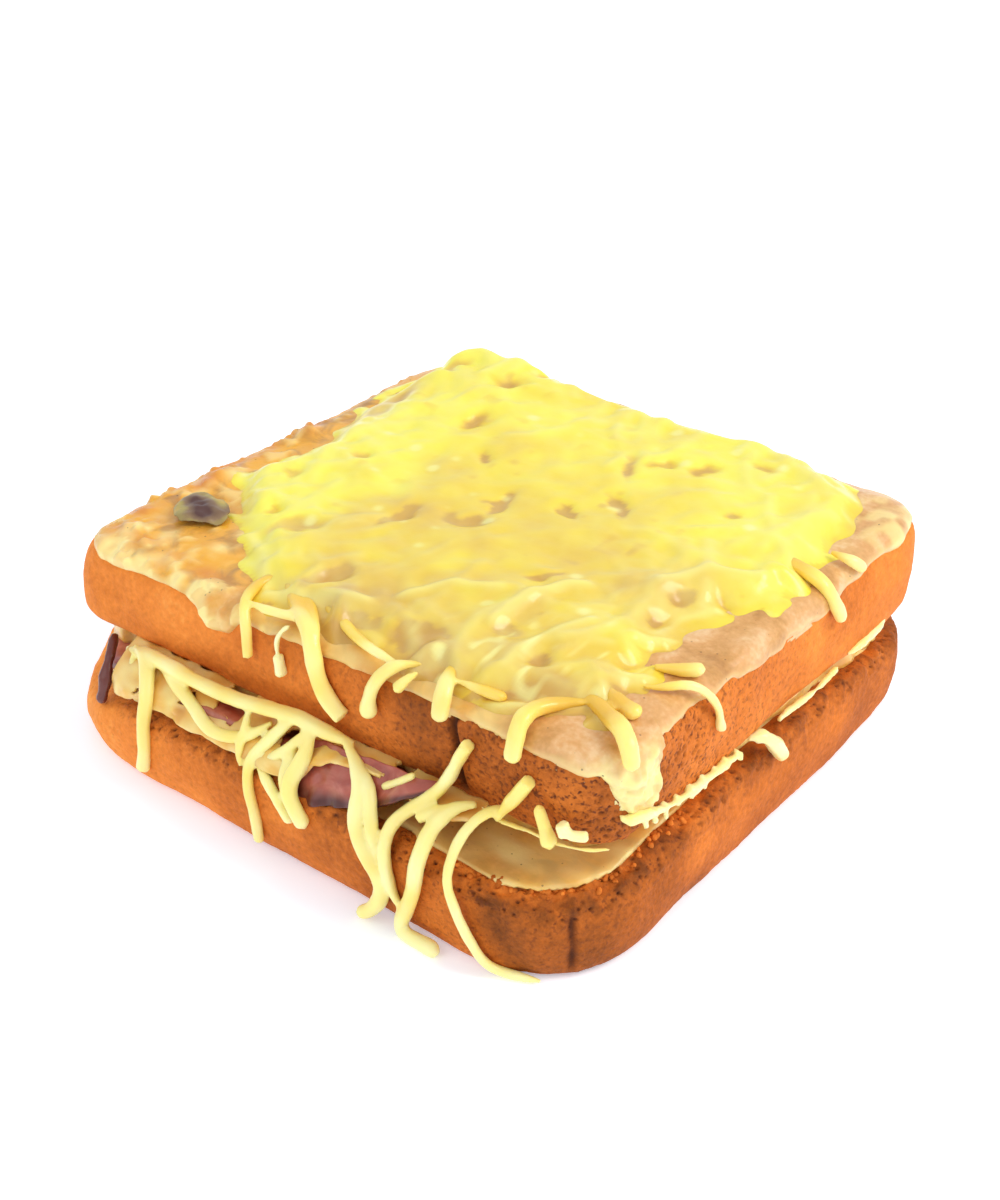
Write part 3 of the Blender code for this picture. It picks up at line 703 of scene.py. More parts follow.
def rim_reach(points, stations):
    """The reach at any place, between the two stations on either side of it as one walks round the rim."""
    stations = np.array(stations, float)
    turns = np.arctan2(stations[:, 1], stations[:, 0])
    order = np.argsort(turns)
    return np.interp(np.arctan2(points[:, 1], points[:, 0]), turns[order], stations[order, 2],
                     period=2 * math.pi)


def over_the_rim(points, outline, top):
    """How far a place on a slice is from its rim: mm inwards on top, and minus mm down on the side."""
    return np.clip(depth_inside(points, outline), 0, None) + points[:, 2] - top(points[:, 0], points[:, 1])


def sauce_margin(points):
    """How far inside the sauce's edge a place on the lid lies."""
    margin = over_the_rim(points, lid_outline, lid_top) + rim_reach(points, SAUCE_REACH)
    return margin + 0.7 * cloud(points, 4.0, 21) + 0.45 * cloud(points, 1.8, 22)

# %% The film on the lid
SLACK = 0.9                     # mm of bare lid kept round the sauce's edge, for the film's edge to dip into
FOOT = 1.5                      # mm above the lid's lowest place where the film always ends
RIM_BAND = 8.5                  # mm in from the rim that is cut finer
film = lid_smooth
film.name = "lid_bechamel"
middles = face_middles(film)
first_points = [face.vertices[0] for face in film.data.polygons]
delete_faces(film, (sauce_margin(middles) < -SLACK) | (middles[:, 2] < lid_low.z / MM + FOOT)
             | (read(film, "normal")[first_points, 2] < -0.3))
middles = face_middles(film)
refine(film, (over_the_rim(middles, lid_outline, lid_top) < RIM_BAND)
       & ((middles[:, 1] < 30.0) | (middles[:, 0] > 38.0)))
apply(film, "SMOOTH", factor=0.5, iterations=1)
print("film cut to the sauce's edge:", triangles(film), "triangles")

# %% How thick the film is
# where the sauce has gathered at the rim: the place, how far it spreads and how many mm it stands higher
DRIPS = (
    ((-45.2, -11.5, 33.0), (2.6, 3.4, 6.0), 2.0), ((-44.6, 8.0, 33.0), (1.8, 2.2, 6.0), 1.6),
    ((-46.0, -20.0, 33.0), (3.0, 4.0, 6.0), 0.8), ((-44.0, -31.0, 33.0), (3.0, 3.0, 6.0), 0.7),
    ((48.0, 38.0, 33.0), (2.2, 4.0, 6.0), 1.0))
points, normals = read(film), read(film, "normal")
margin = sauce_margin(points)
depth = SAUCE_DEPTH * (0.45 + 0.55 * soft(margin, 0.5, 5.0)) * soft(margin, -0.2, 1.1)
depth *= 1 + 0.3 * cloud(points, 5.0, 23)
down = -over_the_rim(points, lid_outline, lid_top)
bubbles = (spot(points, (-42.0, -33.0, 33.0), (11.0, 7.0, 9.0))
           + 0.8 * spot(points, (-21.0, -39.0, 33.0), (7.0, 3.0, 6.0)))
bubbles += 0.7 * soft(-points[:, 0], 43.0, 47.5) * soft(points[:, 1] + 30.0, 0.0, 10.0)
corner_run = spot(points, (52.0, -33.5, 29.0), (7.0, 7.5, 12.0)) * soft(down, -1.6, 2.0)
lumps = 0.7 * soft(pores(points, 2.6, 24), 0.2, 0.9) + 0.4 * cloud(points, 1.4, 25)
left_side = soft(-points[:, 0] - 0.6 * points[:, 1], 26.0, 40.0)
dabs = soft(cloud(points, 2.3, 47) + 0.5 * cloud(points, 1.1, 48), 0.25, 0.75) * left_side
depth += soft(margin, 0.0, 1.5) * (lumps * (bubbles + 0.6 * corner_run) + corner_run * (
    0.6 * cloud(points, 1.2, 36) + 0.4 * cloud(points, 0.7, 35)))
for middle, reach, rise in DRIPS:
    depth += rise * spot(points, middle, reach)
front_lip = (soft(4.4 - margin, 0.0, 2.0) * soft(-points[:, 0], 15.0, 21.0)
             * soft(-points[:, 1], 32.0, 36.0) * soft(cloud(points, 2.4, 38), -0.7, 0.1))
depth += front_lip * soft(margin, 0.2, 1.4) * (0.35 + 0.3 * cloud(points, 1.6, 40))
depth += 0.4 * dabs * soft(margin, 0.5, 2.0)
front_strip = (soft(-points[:, 1], 33.0, 36.5) * soft(points[:, 0], -18.0, -13.0)
               * soft(-points[:, 0], -38.0, -30.0))
write(film, points + normals * (depth - TUCK * (1 - soft(margin, -0.4, 0.6)))[:, None])
print("sauce up to", depth.max().round(1), "mm thick")

# %% Where the film is browned, golden or creamy, and where a highlight is painted along its rim
# each creamy white drop: its place in plan, and how far it spreads
CREAM_DROPS = (
    ((-44.3, -32.9), (1.8, 2.0)), ((-28.1, -23.1), (1.7, 1.2)), ((-29.2, -28.5), (1.6, 1.1)),
    ((-34.2, -35.1), (2.2, 1.1)), ((-43.5, -10.5), (1.5, 2.2)), ((-44.6, -17.0), (1.2, 1.4)),
    ((-38.5, -30.5), (1.5, 1.3)), ((-23.5, -37.2), (2.0, 0.9)))
rim_left = soft(-points[:, 0], 44.5, 48.5)
browned = (0.8 * spot(points, (-26.0, -34.6, 34.0), (3.4, 1.5, 9.0))
           + 0.35 * bubbles * (cloud(points, 2.4, 26) > 0.2)
           + 0.75 * rim_left * soft(cloud(points, 3.0, 29), -0.5, 0.6)
           + 0.9 * spot(points, (-45.6, -14.6, 33.5), (2.2, 2.6, 9.0))
           + 0.8 * spot(points, (-46.0, 9.0, 34.0), (2.0, 2.0, 9.0))
           + 0.45 * spot(points, (-13.2, -34.8, 35.0), (2.5, 1.5, 9.0))
           + 0.5 * spot(points, (-34.2, -35.4, 34.0), (1.5, 1.5, 5.0)))
browned += 0.08 * soft(-points[:, 0], 8.0, 34.0) + 0.04
paint(film, "brown", np.clip(browned, 0, 1))
paint(film, "golden", np.clip((0.88 + 0.35 * cloud(points, 3.5, 37)) * soft(-points[:, 0], 4.0, 30.0)
                              + 0.6 * front_strip, 0, 1))
right_corner = spot(points, (47.0, 41.0, 34.0), (6.0, 9.0, 9.0))
# cream-white sauce, and in the last term a painted highlight along the right-hand rim of the film
cream_and_rim_highlight = (1.25 * corner_run * (0.45 + 0.65 * soft(cloud(points, 1.3, 39), -0.6, 0.3))
          + 0.45 * bubbles * soft(cloud(points, 2.0, 28), 0.0, 0.7)
          + 0.75 * right_corner * soft(cloud(points, 1.9, 34), -0.6, 0.6)
          + 0.95 * front_lip + 0.5 * dabs + 0.45 * front_strip * soft(cloud(points, 3.0, 49), -0.8, 0.4)
          + 0.28 * soft(2.0 - margin, 0.0, 1.2) * soft(points[:, 0], 20.0, 40.0))
for middle, reach in CREAM_DROPS:
    cream_and_rim_highlight += 0.95 * spot(points, (*middle, 34.0), (*reach, 9.0))
paint(film, "thin", np.clip((1 - soft(margin, 0.2, 2.4)) * 0.6 * (1 + 0.4 * cloud(points, 2.0, 27))
                            * (1 - soft(-points[:, 0], 20.0, 34.0)) * (1 - 0.7 * front_strip), 0, 1))
paint(film, "cream_and_highlight", np.clip(cream_and_rim_highlight, 0, 1))
apply(film, "SOLIDIFY", thickness=0.7 * MM, offset=-1.0)
finish_piece(film, sauce, "baked_bechamel", "top_bechamel")
film_top = surface(film, lid)

# %% The sauce on the bottom slice
SINK = 1.0                      # mm that the sauce's outer edge has soaked into the bread
SKIN = 0.75                     # mm between points on the sauce and the filling
pool = copy_layer("bottom_sauce", "bottom_bechamel")
apply(pool, "REMESH", mode="VOXEL", voxel_size=SKIN * MM)
apply(pool, "SMOOTH", factor=0.5, iterations=3)
points, normals = read(pool), read(pool, "normal")
top_side = soft(normals[:, 2], 0.2, 0.7)
streaks = cloud(points * (0.35, 1.0, 1.0), 1.8, 31)
push = top_side * (0.25 * cloud(points, 4.0, 32) + 0.14 * streaks) + 0.1 * cloud(points, 1.5, 33)
points = points + normals * push[:, None]
pool_inside = depth_inside(points, base_outline)
at_corner = spot(points, (42.0, -40.0, 15.0), (26.0, 22.0, 20.0))
points[:, 2] -= SINK * (1 - soft(pool_inside, 3.6, 8.5)) * (1 - at_corner)
write(pool, points)
paint(pool, "brown", np.clip(0.55 - 0.16 * pool_inside, 0, 0.4))
paint(pool, "golden", np.clip(0.6 + 0.4 * cloud(points, 5.0, 46), 0, 1))
paint(pool, "thin", np.clip(0.25 * (streaks > 0.3) * top_side, 0, 1))
paint(pool, "cream_and_highlight", np.clip(0.52 + 0.4 * cloud(points, 4.0, 34) + 0.3 * streaks, 0, 1))
finish_piece(pool, sauce, "baked_bechamel", "bottom_bechamel")

# %% [markdown]
# ## Ham
# A cooked slice: wet pink meat with paler fat, dark red along its cut edge and darker towards the bottom of
# that edge. Its edge is also uneven, so the copied layer is remeshed finely and creased near its outline.

# %% Ham
def cooked_ham():
    """Marbled pink meat that turns dark red where it is `darkened`."""
    finish, tree, shader = new_material("cooked_ham")
    place = add(tree, "TexCoord").outputs["Object"]
    darkened = stored(tree, "darkened")
    marbling = speckle(tree, place, 6.0, 4.0, Distortion=1.2)
    fibre = speckle(tree, place, 0.9, 2.0)
    colour = add(tree, "ValToRGB", {"Fac": marbling}, stops=(
        (0.3, "#9C4238"), (0.5, "#B65E4C"), (0.66, "#CB7E66"), (0.8, "#DDA488"))).outputs["Color"]
    colour = tint(tree, colour, "#4F1C16", darkened)
    bump = add(tree, "Bump", {"Height": fibre, "Strength": 0.3, "Distance": 0.2 * MM})
    set_inputs(tree, shader, {
        "Base Color": colour, "Normal": bump.outputs["Normal"], "Roughness": 0.36, "IOR": 1.42,
        "Coat Weight": 0.4, "Coat Roughness": 0.15, "Subsurface Weight": 0.2,
        "Subsurface Radius": (1.0, 0.3, 0.2), "Subsurface Scale": 1.5 * MM})
    return finish


HAM_SKIN = 0.7                  # mm between points on the ham
ham = copy_layer("ham_slice", "ham")
apply(ham, "REMESH", mode="VOXEL", voxel_size=HAM_SKIN * MM)
apply(ham, "SMOOTH", factor=0.5, iterations=3)
points, normals = read(ham), read(ham, "normal")
edge_band = soft(1 - np.abs(normals[:, 2]), 0.05, 0.4)
push = edge_band * (0.5 * cloud(points, 5.0, 41) + 0.25 * cloud(points, 2.0, 42))
push += 0.06 * cloud(points, 1.6, 43)
points = points + normals * push[:, None]
# the front edge has curled up where it shows between the strands
curl = np.exp(-((points[:, 0] - 12.0) / 8.5) ** 2) * soft(-points[:, 1], 38.0, 45.0)
points[:, 2] += (curl * (1.2 + 3.2 * soft(normals[:, 2], -0.3, 0.6))
                 - 1.6 * curl * soft(-normals[:, 2], -0.2, 0.5))
points[:, 1] -= 1.2 * curl
write(ham, points)
# the ham is made darker along its cut edge and towards the bottom of that edge
low_edge = soft(17.6 + 3.6 * curl - points[:, 2], 0.0, 2.0)
darkened = edge_band * (0.35 + 0.6 * low_edge + 0.3 * cloud(points, 3.0, 44)) + 0.15 * cloud(points, 5.0, 45)
paint(ham, "darkened", np.clip(darkened, 0, 1))
ham_finish = cooked_ham()
finish_piece(ham, ham_finish, "cooked_ham", "ham")

# %% [markdown]
# ## Melted cheese
# Grated Emmental, melted until its strands run together: a bright yellow sheet with soft ridges where
# the strands were, paler and raised where they melted last, thin and ochre where the sauce shows
# through, with ragged edges and slit-shaped holes. It is slightly see-through and shines where fat has
# come out. A grid over the lid is shaped by laying hundreds of strand profiles on it, each one curved,
# and taking a soft maximum, which is how a melted strand sinks into its neighbours. Then the grid is cut
# at the sheet's edge and given a thickness.

# %% Cheese material
def melted_cheese(name, thin_colour, low, mid, high, pale):
    """Melted Emmental: `melt_and_painted_light` takes it from its thin colour to its high one, with painted
    light and shade on the sheet, and `pale` to its pale one, with painted glints on the sheet.
    """
    finish, tree, shader = new_material(name)
    place = add(tree, "TexCoord").outputs["Object"]
    melt_and_painted_light = stored(tree, "melt_and_painted_light")
    pale_strands_and_glints = stored(tree, "pale")
    patches = speckle(tree, place, 8.0, 3.0)
    fine = speckle(tree, place, 1.3, 2.0)
    tone = sums(tree, "MULTIPLY_ADD", patches, 0.35, melt_and_painted_light)
    tone = sums(tree, "SUBTRACT", tone, 0.17)
    colour = add(tree, "ValToRGB", {"Fac": tone}, stops=(
        (0.02, thin_colour), (0.3, low), (0.6, mid), (0.95, high))).outputs["Color"]
    colour = tint(tree, colour, pale, pale_strands_and_glints)
    bump = add(tree, "Bump", {"Height": fine, "Strength": 0.3, "Distance": 0.2 * MM})
    set_inputs(tree, shader, {
        "Base Color": colour, "Normal": bump.outputs["Normal"], "Roughness": 0.36, "IOR": 1.45,
        "Coat Weight": 0.35, "Coat Roughness": 0.12, "Subsurface Weight": 0.35,
        "Subsurface Radius": (1.0, 0.8, 0.3), "Subsurface Scale": 2.0 * MM})
    return finish


sheet_cheese = melted_cheese("melted_emmental", "#CFA04C", "#EBC044", "#F8D840", "#FFF04E", "#FFF59A")
strand_cheese = melted_cheese("softened_emmental", "#E6B840", "#F4CE5A", "#FCDD6C", "#FFE87A", "#FFFAB8")
film_cheese = melted_cheese("thin_emmental_film", "#C88A3A", "#E4A84C", "#F2BE5E", "#FAD476", "#FDE69A")
print("materials:", sheet_cheese.name, strand_cheese.name, film_cheese.name)

# %% A grid over the lid
CELL = 0.45                     # mm between points of the sheet
WEST, EAST, SOUTH, NORTH = -45.0, 53.5, -42.0, 49.5
columns, rows = int((EAST - WEST) / CELL), int((NORTH - SOUTH) / CELL)
sheet = new_grid("melted_cheese_sheet", columns, rows)
unit = read(sheet) * MM + 0.5
plan = np.stack((WEST + unit[:, 0] * (EAST - WEST), SOUTH + unit[:, 1] * (NORTH - SOUTH)), axis=1)
flat = np.column_stack((plan, np.zeros(len(plan))))
level = lid_top(plan[:, 0], plan[:, 1])


def heights_on(surfaces, lowest):
    """How high the surfaces stand over each point of the grid, and never lower than a stated height."""
    found = [meet(surfaces, (x, y, FAR), (0, 0, -1)) for x, y in plan]
    return np.maximum([lowest[n] if place is None else place[2] for n, place in enumerate(found)], lowest)


under = heights_on(film_top, level - 3.0)
roof = heights_on(surface(layer_of["top_cheese"]), level)
print("sheet grid", columns, "by", rows)

# %% Its outline and its holes
SHEET_EDGE = np.array((
    (-36.5, -17), (-30, -21.5), (-25, -25), (-21, -28.0), (-18.5, -31), (-12, -35.5), (-5, -37.0),
    (2, -38.0), (8, -37.6), (12, -37.2), (16, -38.4), (22, -38.6), (27, -38.2), (31, -35.6), (36, -34.0),
    (40, -33.6), (43.5, -31), (43.2, -26), (41.8, -20), (40.5, -16), (38, -10), (37.5, -7), (39.5, -2),
    (42, 3), (46, 6.5), (48.5, 12), (46.5, 20), (44.8, 27), (44, 34), (43, 41), (37, 45.8), (24, 48.2),
    (12, 47.6), (0, 46.6), (-8, 47), (-18, 48), (-28, 48.5), (-38, 47.5), (-43, 42), (-42.8, 27),
    (-41, 12), (-38.6, 4), (-39.5, -4), (-44, -9.5), (-43, -14), (-38.5, -13.5)))
# middle of each hole, half length, half width and turn in degrees
HOLES = (
    (-22.1, -19.5, 4.2, 1.7, 35), (-7.3, -28.5, 4.8, 1.5, 78), (12.8, -31.8, 3.4, 1.5, 20),
    (4.0, -33.0, 3.0, 1.1, 10), (23.0, -24.6, 2.2, 1.2, 25), (18.3, -10.1, 2.6, 0.7, 40),
    (-10.7, -8.1, 4.4, 1.2, 78), (-1.0, -3.1, 4.2, 1.6, 38), (-0.6, 3.6, 3.8, 1.0, 95),
    (-1.8, 5.2, 2.4, 0.8, 60), (-38.5, 20.5, 9.0, 2.0, 88), (-24.8, 37.1, 3.4, 1.6, 30),
    (-20.9, 22.7, 3.0, 1.6, 70), (-21.4, 43.8, 2.2, 1.4, 20), (8.9, 25.6, 3.6, 1.0, 120),
    (12.6, 29.6, 2.4, 0.9, 40), (18.4, 32.0, 3.0, 1.2, 60), (14.8, 13.8, 3.9, 0.9, -35),
    (9.6, 7.9, 2.2, 0.7, -30), (-37.5, 36.0, 3.5, 1.4, 60), (-29.0, 3.0, 1.6, 1.0, 20),
    (30.0, 22.0, 1.8, 0.8, 10), (-12.0, 14.0, 1.6, 0.7, 120), (36.8, -1.6, 2.4, 1.0, 60),
    (31.5, -27.5, 1.5, 0.8, 10), (26.0, 38.0, 2.6, 1.0, 10), (-34.0, -7.5, 2.2, 1.0, 30),
    (-28.5, -17.5, 1.6, 0.8, 60))
RIM_ROUND = 1.7                 # mm inside the lid's outline, where its rim starts to bend down
margin = depth_inside(plan, SHEET_EDGE) + 1.1 * cloud(flat, 5.0, 51) + 0.6 * cloud(flat, 2.2, 52)
rim_margin = depth_inside(plan, lid_outline) - RIM_ROUND
margin = np.minimum(margin, rim_margin)
hole = np.zeros(len(plan))
warp = np.stack((1.1 * cloud(flat, 2.6, 59) + 0.5 * cloud(flat, 1.2, 60),
                 1.1 * cloud(flat, 2.6, 61) + 0.5 * cloud(flat, 1.2, 62)), axis=1)
for x, y, long, short, turn in HOLES:
    along = np.array((math.cos(math.radians(turn)), math.sin(math.radians(turn))))
    off = plan + warp - (x, y)
    far_along, far_across = off @ along, off @ np.array((-along[1], along[0]))
    wave = 1 + 0.25 * cloud(flat, 2.0, 53)
    gap = (far_along / long) ** 2 + (far_across / (1.15 * short)) ** 2
    hole = np.maximum(hole, np.exp(-gap ** 1.2 * wave))
print("the sheet has", len(HOLES), "holes")

# %% Laying the strands
STRANDS = 430
ARC_PARTS = 7
ACROSS, ALONG = (-44, 50), (-40, 48)        # mm in plan between which the strands start
LENGTHS, WIDTHS, HEIGHTS = (9.0, 24.0), (1.9, 3.0), (0.25, 0.7)       # mm


def arc(start, heading, length, bend):
    """The points of a strand that lies in plan with an even bend."""
    places = [np.array(start, float)]
    for part in range(ARC_PARTS):
        angle = heading + bend * (part / ARC_PARTS - 0.5)
        places.append(places[-1] + np.array((math.cos(angle), math.sin(angle))) * length / ARC_PARTS)
    return np.array(places)


def lay(route, width, height, field, ridge):
    """Adds one strand's rounded profile to the depth of the sheet, and marks its ridge."""
    low, high = route.min(0) - width, route.max(0) + width
    near = np.nonzero(((plan > low) & (plan < high)).all(axis=1))[0]
    if not len(near):
        return
    here = plan[near]
    gap = np.full(len(near), 99.0)
    for first, last in zip(route[:-1], route[1:]):
        side = last - first
        along = np.clip(((here - first) @ side) / (side @ side), 0, 1)
        gap = np.minimum(gap, np.linalg.norm(here - first - along[:, None] * side, axis=1))
    profile = np.clip(1 - (gap / (width / 2)) ** 2, 0, 1)
    raised = height * np.sqrt(profile)
    field[near] = np.where(profile > 0, np.maximum(field[near] * 0.62 + raised, field[near]), field[near])
    ridge[near] = np.maximum(ridge[near] * (1 - 0.75 * profile), profile * min(1.0, height))


random = np.random.default_rng(12)
strands_depth, ridges = np.zeros(len(plan)), np.zeros(len(plan))
laid = 0
while laid < STRANDS:
    start = np.array((random.uniform(*ACROSS), random.uniform(*ALONG)))
    length = random.uniform(*LENGTHS)
    route = arc(start, random.uniform(0, 2 * math.pi), length, random.normal(0, 1.1))
    middle_depth = depth_inside(route[[0, ARC_PARTS // 2, ARC_PARTS]], SHEET_EDGE)
    if middle_depth.min() < -2.4 or middle_depth.max() < 1.0:
        continue
    melted = soft(middle_depth.min(), 1.0, 12.0)
    height = random.uniform(*HEIGHTS) * (1 - 0.65 * melted)
    lay(route, random.uniform(*WIDTHS), height, strands_depth, ridges)
    laid += 1

# strands that can be told apart on the sheet: width, height and the places they pass in plan
PLAIN_STRANDS = (
    (2.6, 1.3, ((20.5, -24.5), (20.2, -20.0), (20.8, -15.5), (23.0, -10.5), (25.0, -8.8))),
    (2.2, 0.9, ((28.3, -32.0), (27.4, -27.5), (29.0, -21.0), (31.5, -16.0))),
    (2.3, 1.5, ((41.0, -22.9), (45.0, -19.5), (47.2, -16.5))),
    (2.3, 1.3, ((38.0, -14.6), (42.0, -9.8))),
    (2.2, 1.2, ((27.0, -39.0), (31.0, -37.2), (34.6, -35.5))),
    (2.4, 1.2, ((41.6, -27.5), (44.8, -31.0), (48.6, -33.5), (50.0, -34.6))),
    (2.0, 0.9, ((38.5, -11.0), (38.8, -5.0), (41.5, 0.5))),
    (2.2, 0.9, ((5.0, -26.0), (9.0, -20.0), (16.0, -17.0))),
    (2.4, 1.0, ((-14.0, -34.5), (-6.0, -33.0), (2.0, -30.0))),
    (2.2, 1.0, ((-27.0, -24.0), (-21.0, -27.5), (-15.0, -33.5))),
    (2.4, 1.0, ((33.0, -2.0), (36.0, 6.0), (43.0, 9.5))),
    (2.0, 1.0, ((46.0, -15.5), (48.5, -11.5), (49.5, -9.0))))
for width, height, route in PLAIN_STRANDS:
    lay(np.array(route, float), width, height, strands_depth, ridges)
print(laid + len(PLAIN_STRANDS), "strands laid, up to", strands_depth.max().round(1), "mm deep")

# %% The sheet's thickness
thickness = 0.8 + 0.9 * np.clip(roof - under - 0.8, 0, 6)
body = (thickness * soft(margin / (2.4 + 0.6 * thickness), -0.1, 1.0) * (1 + 0.2 * cloud(flat, 7.0, 54))
        + 0.2 * cloud(flat, 3.0, 55))
depth = body + strands_depth * soft(margin + 4.0 * (strands_depth > 0.2), 0.0, 2.0) * (rim_margin > 0.3)
depth = (depth - 0.2) * (1 - 0.45 * hole)
depth = np.where((margin < -4.5) | (rim_margin < 0.0), -1.0, depth)


def melt_together(values, rounds):
    """Evens out the grid's values with their neighbours, as melting does."""
    grid = values.reshape(rows + 1, columns + 1)
    for _ in range(rounds):
        padded = np.pad(grid, 1, mode="edge")
        grid = (padded[:-2, 1:-1] + padded[2:, 1:-1] + padded[1:-1, :-2] + padded[1:-1, 2:] + 4 * grid) / 8
    return grid.ravel()


depth, ridges = melt_together(depth, 6), melt_together(ridges, 3)
under = melt_together(under, 2)
height = under + np.clip(depth, -TUCK, 8.0)
print("sheet up to", depth.max().round(1), "mm thick")

# %% The sheet's colours, its cut edge and its underside
# painted light: the sheet is made brighter towards the back and towards the left
bright = np.maximum(soft(plan[:, 1], -12.0, 25.0), 1.5 * soft(-plan[:, 0], 8.0, 26.0))
tone = 0.42 + 0.22 * cloud(flat, 9.0, 56) + 0.2 * cloud(flat, 3.5, 57) + 0.36 * bright
blotch = soft(cloud(flat, 2.4, 63), 0.45, 0.9) * soft(cloud(flat, 9.0, 64), -0.2, 0.6)
tone -= 0.12 * (1 - soft(margin, 0.0, 2.0)) * soft(-plan[:, 0], 22.0, 32.0)
# painted shade: the sheet is made darker towards the front
tone -= 0.2 * soft(-plan[:, 1], 14.0, 30.0) * soft(plan[:, 0], -14.0, 4.0)
tone -= 0.75 * soft(hole, 0.1, 0.9) + 0.3 * (1 - soft(margin, 0.0, 3.5)) * (ridges < 0.1) + 0.35 * blotch
# painted glints: small scattered pale spots that stand in for highlights on the wet cheese
painted_glints = soft(pores(flat, 7.0, 58), 0.62, 0.85)
paint(sheet, "melt_and_painted_light", np.clip(tone, 0, 1))
near_right = soft(plan[:, 0] - plan[:, 1], 28.0, 62.0)
wrinkles = soft(cloud(flat * (1.0, 0.5, 1.0), 1.5, 65), 0.45, 0.85) * near_right
paint(sheet, "pale", np.clip(0.6 * ridges * soft(depth, 0.2, 0.8) + 0.6 * painted_glints + 0.6 * wrinkles, 0, 1))
write(sheet, np.column_stack((plan, height)))
sheet.location = (0, 0, 0)
faces = face_points(sheet)
delete_faces(sheet, depth[faces].max(axis=1) < -0.12)
apply(sheet, "SOLIDIFY", thickness=0.35 * MM, offset=-1.0)
finish_piece(sheet, sheet_cheese, "melted_cheese", "top_cheese")

# %% [markdown]
# ## Hanging strands
# A strand of grated cheese is 2 to 3 mm across, with a rounded square section, and cut or melted blunt at
# its ends. Each one is a curve with that section, drawn through a few listed places, in millimetres: where
# it leaves the filling, where it bends over the crust, and where it ends. The curves become meshes, are
# joined and remeshed into one skin, and a smoothing pass melts the joints.

# %% A strand's section
SQUARENESS = 2.8                # 2 is a round section and large values are a square one
FLATNESS = 0.82                 # a strand's thickness for each mm of its width
CORNERS = 12                    # points round a strand's section


def grated_section():
    """The rounded square outline of a strand, 1 mm from its middle to each side."""
    data = bpy.data.curves.new("strand_section", "CURVE")
    data.dimensions = "2D"
    spline = data.splines.new("POLY")
    spline.points.add(CORNERS - 1)
    for number, point in enumerate(spline.points):
        turn = 2 * math.pi * number / CORNERS
        x, y = math.cos(turn), math.sin(turn)
        reach = (abs(x) ** SQUARENESS + abs(y) ** SQUARENESS) ** (-1 / SQUARENESS)
        point.co = (x * reach * MM, FLATNESS * y * reach * MM, 0, 1)
    spline.use_cyclic_u = True
    thing = bpy.data.objects.new("strand_section", data)
    bpy.context.scene.collection.objects.link(thing)
    return thing


section = grated_section()
print("a strand's section has", CORNERS, "corners")

# %% A strand's route
STEP = 0.6                      # mm between the points of a strand's curve
EASE = 6                        # rounds of evening out, so that a strand bends softly
WAVER = 0.12                    # mm that a strand wavers from side to side


def through(places):
    """A soft line through a strand's places, with a point every STEP."""
    places = np.array(places, float)
    ends = np.vstack((2 * places[0] - places[1], places, 2 * places[-1] - places[-2]))
    line = []
    for a, b, c, d in zip(ends, ends[1:], ends[2:], ends[3:]):
        parts = max(2, int(np.linalg.norm(c - b) / STEP))
        for t in np.arange(parts) / parts:
            line.append(0.5 * (2 * b + (c - a) * t + (2 * a - 5 * b + 4 * c - d) * t * t
                               + (3 * b - a - 3 * c + d) * t ** 3))
    line.append(places[-1])
    line = np.array(line)
    for _ in range(EASE):
        line[1:-1] = (line[:-2] + 2 * line[1:-1] + line[2:]) / 4
    return line

# %% One strand
def strand(places, width, ends=("round", "round"), seed=0, swell=0.1):
    """One strand as a mesh: its places, its width, and how each end is: round, cut, thin or a blob."""
    route = through(places)
    route += np.stack([cloud(route, 5.0, 60 + seed + axis) for axis in range(3)], axis=1) * WAVER
    data = bpy.data.curves.new("strand", "CURVE")
    data.dimensions = "3D"
    data.bevel_mode, data.bevel_object, data.use_fill_caps = "OBJECT", section, True
    spline = data.splines.new("POLY")
    spline.points.add(len(route) - 1)
    run = np.concatenate(([0], np.cumsum(np.linalg.norm(np.diff(route, axis=0), axis=1))))
    radius = width / 2
    thickness = radius * (1 + swell * cloud(route, 3.5, 70 + seed)
                          + 0.4 * swell * cloud(route, 1.3, 75 + seed))
    for gap, end in ((run, ends[0]), (run[-1] - run, ends[1])):
        if end == "round":
            thickness *= np.sqrt(np.clip(1 - np.clip(1 - gap / radius, 0, 1) ** 2, 0.03, 1))
        elif end == "thin":
            thickness *= np.clip(0.4 + 0.6 * gap / (4 * radius), 0.4, 1)
        elif end == "blob":
            thickness *= (1 + 0.4 * np.exp(-((gap - 1.3 * radius) / (1.2 * radius)) ** 2)) * np.sqrt(
                np.clip(1 - np.clip(1 - gap / (1.2 * radius), 0, 1) ** 2, 0.03, 1))
    for point, place, size in zip(spline.points, route, thickness):
        point.co = (*(place * MM), 1)
        point.radius = float(size)
    thing = bpy.data.objects.new("strand", data)
    bpy.context.scene.collection.objects.link(thing)
    only(thing)
    bpy.ops.object.convert(target="MESH")
    return bpy.context.object

# %% Strands melted together
def weld(name, parts, voxel, lumps=0.06):
    """Joins strands into one skin and lets it run together a little."""
    only(parts[0])
    for part in parts:
        part.select_set(True)
    bpy.ops.object.join()
    piece = bpy.context.object
    piece.name = name
    apply(piece, "REMESH", mode="VOXEL", voxel_size=voxel * MM)
    apply(piece, "SMOOTH", factor=0.5, iterations=2)
    points, normals = read(piece), read(piece, "normal")
    push = lumps * (cloud(points, 2.6, 81) + 0.6 * cloud(points, 1.2, 82))
    write(piece, points + normals * push[:, None])
    return piece


ROOT_SINK = 0.75                # mm that a strand's root sinks into the sheet


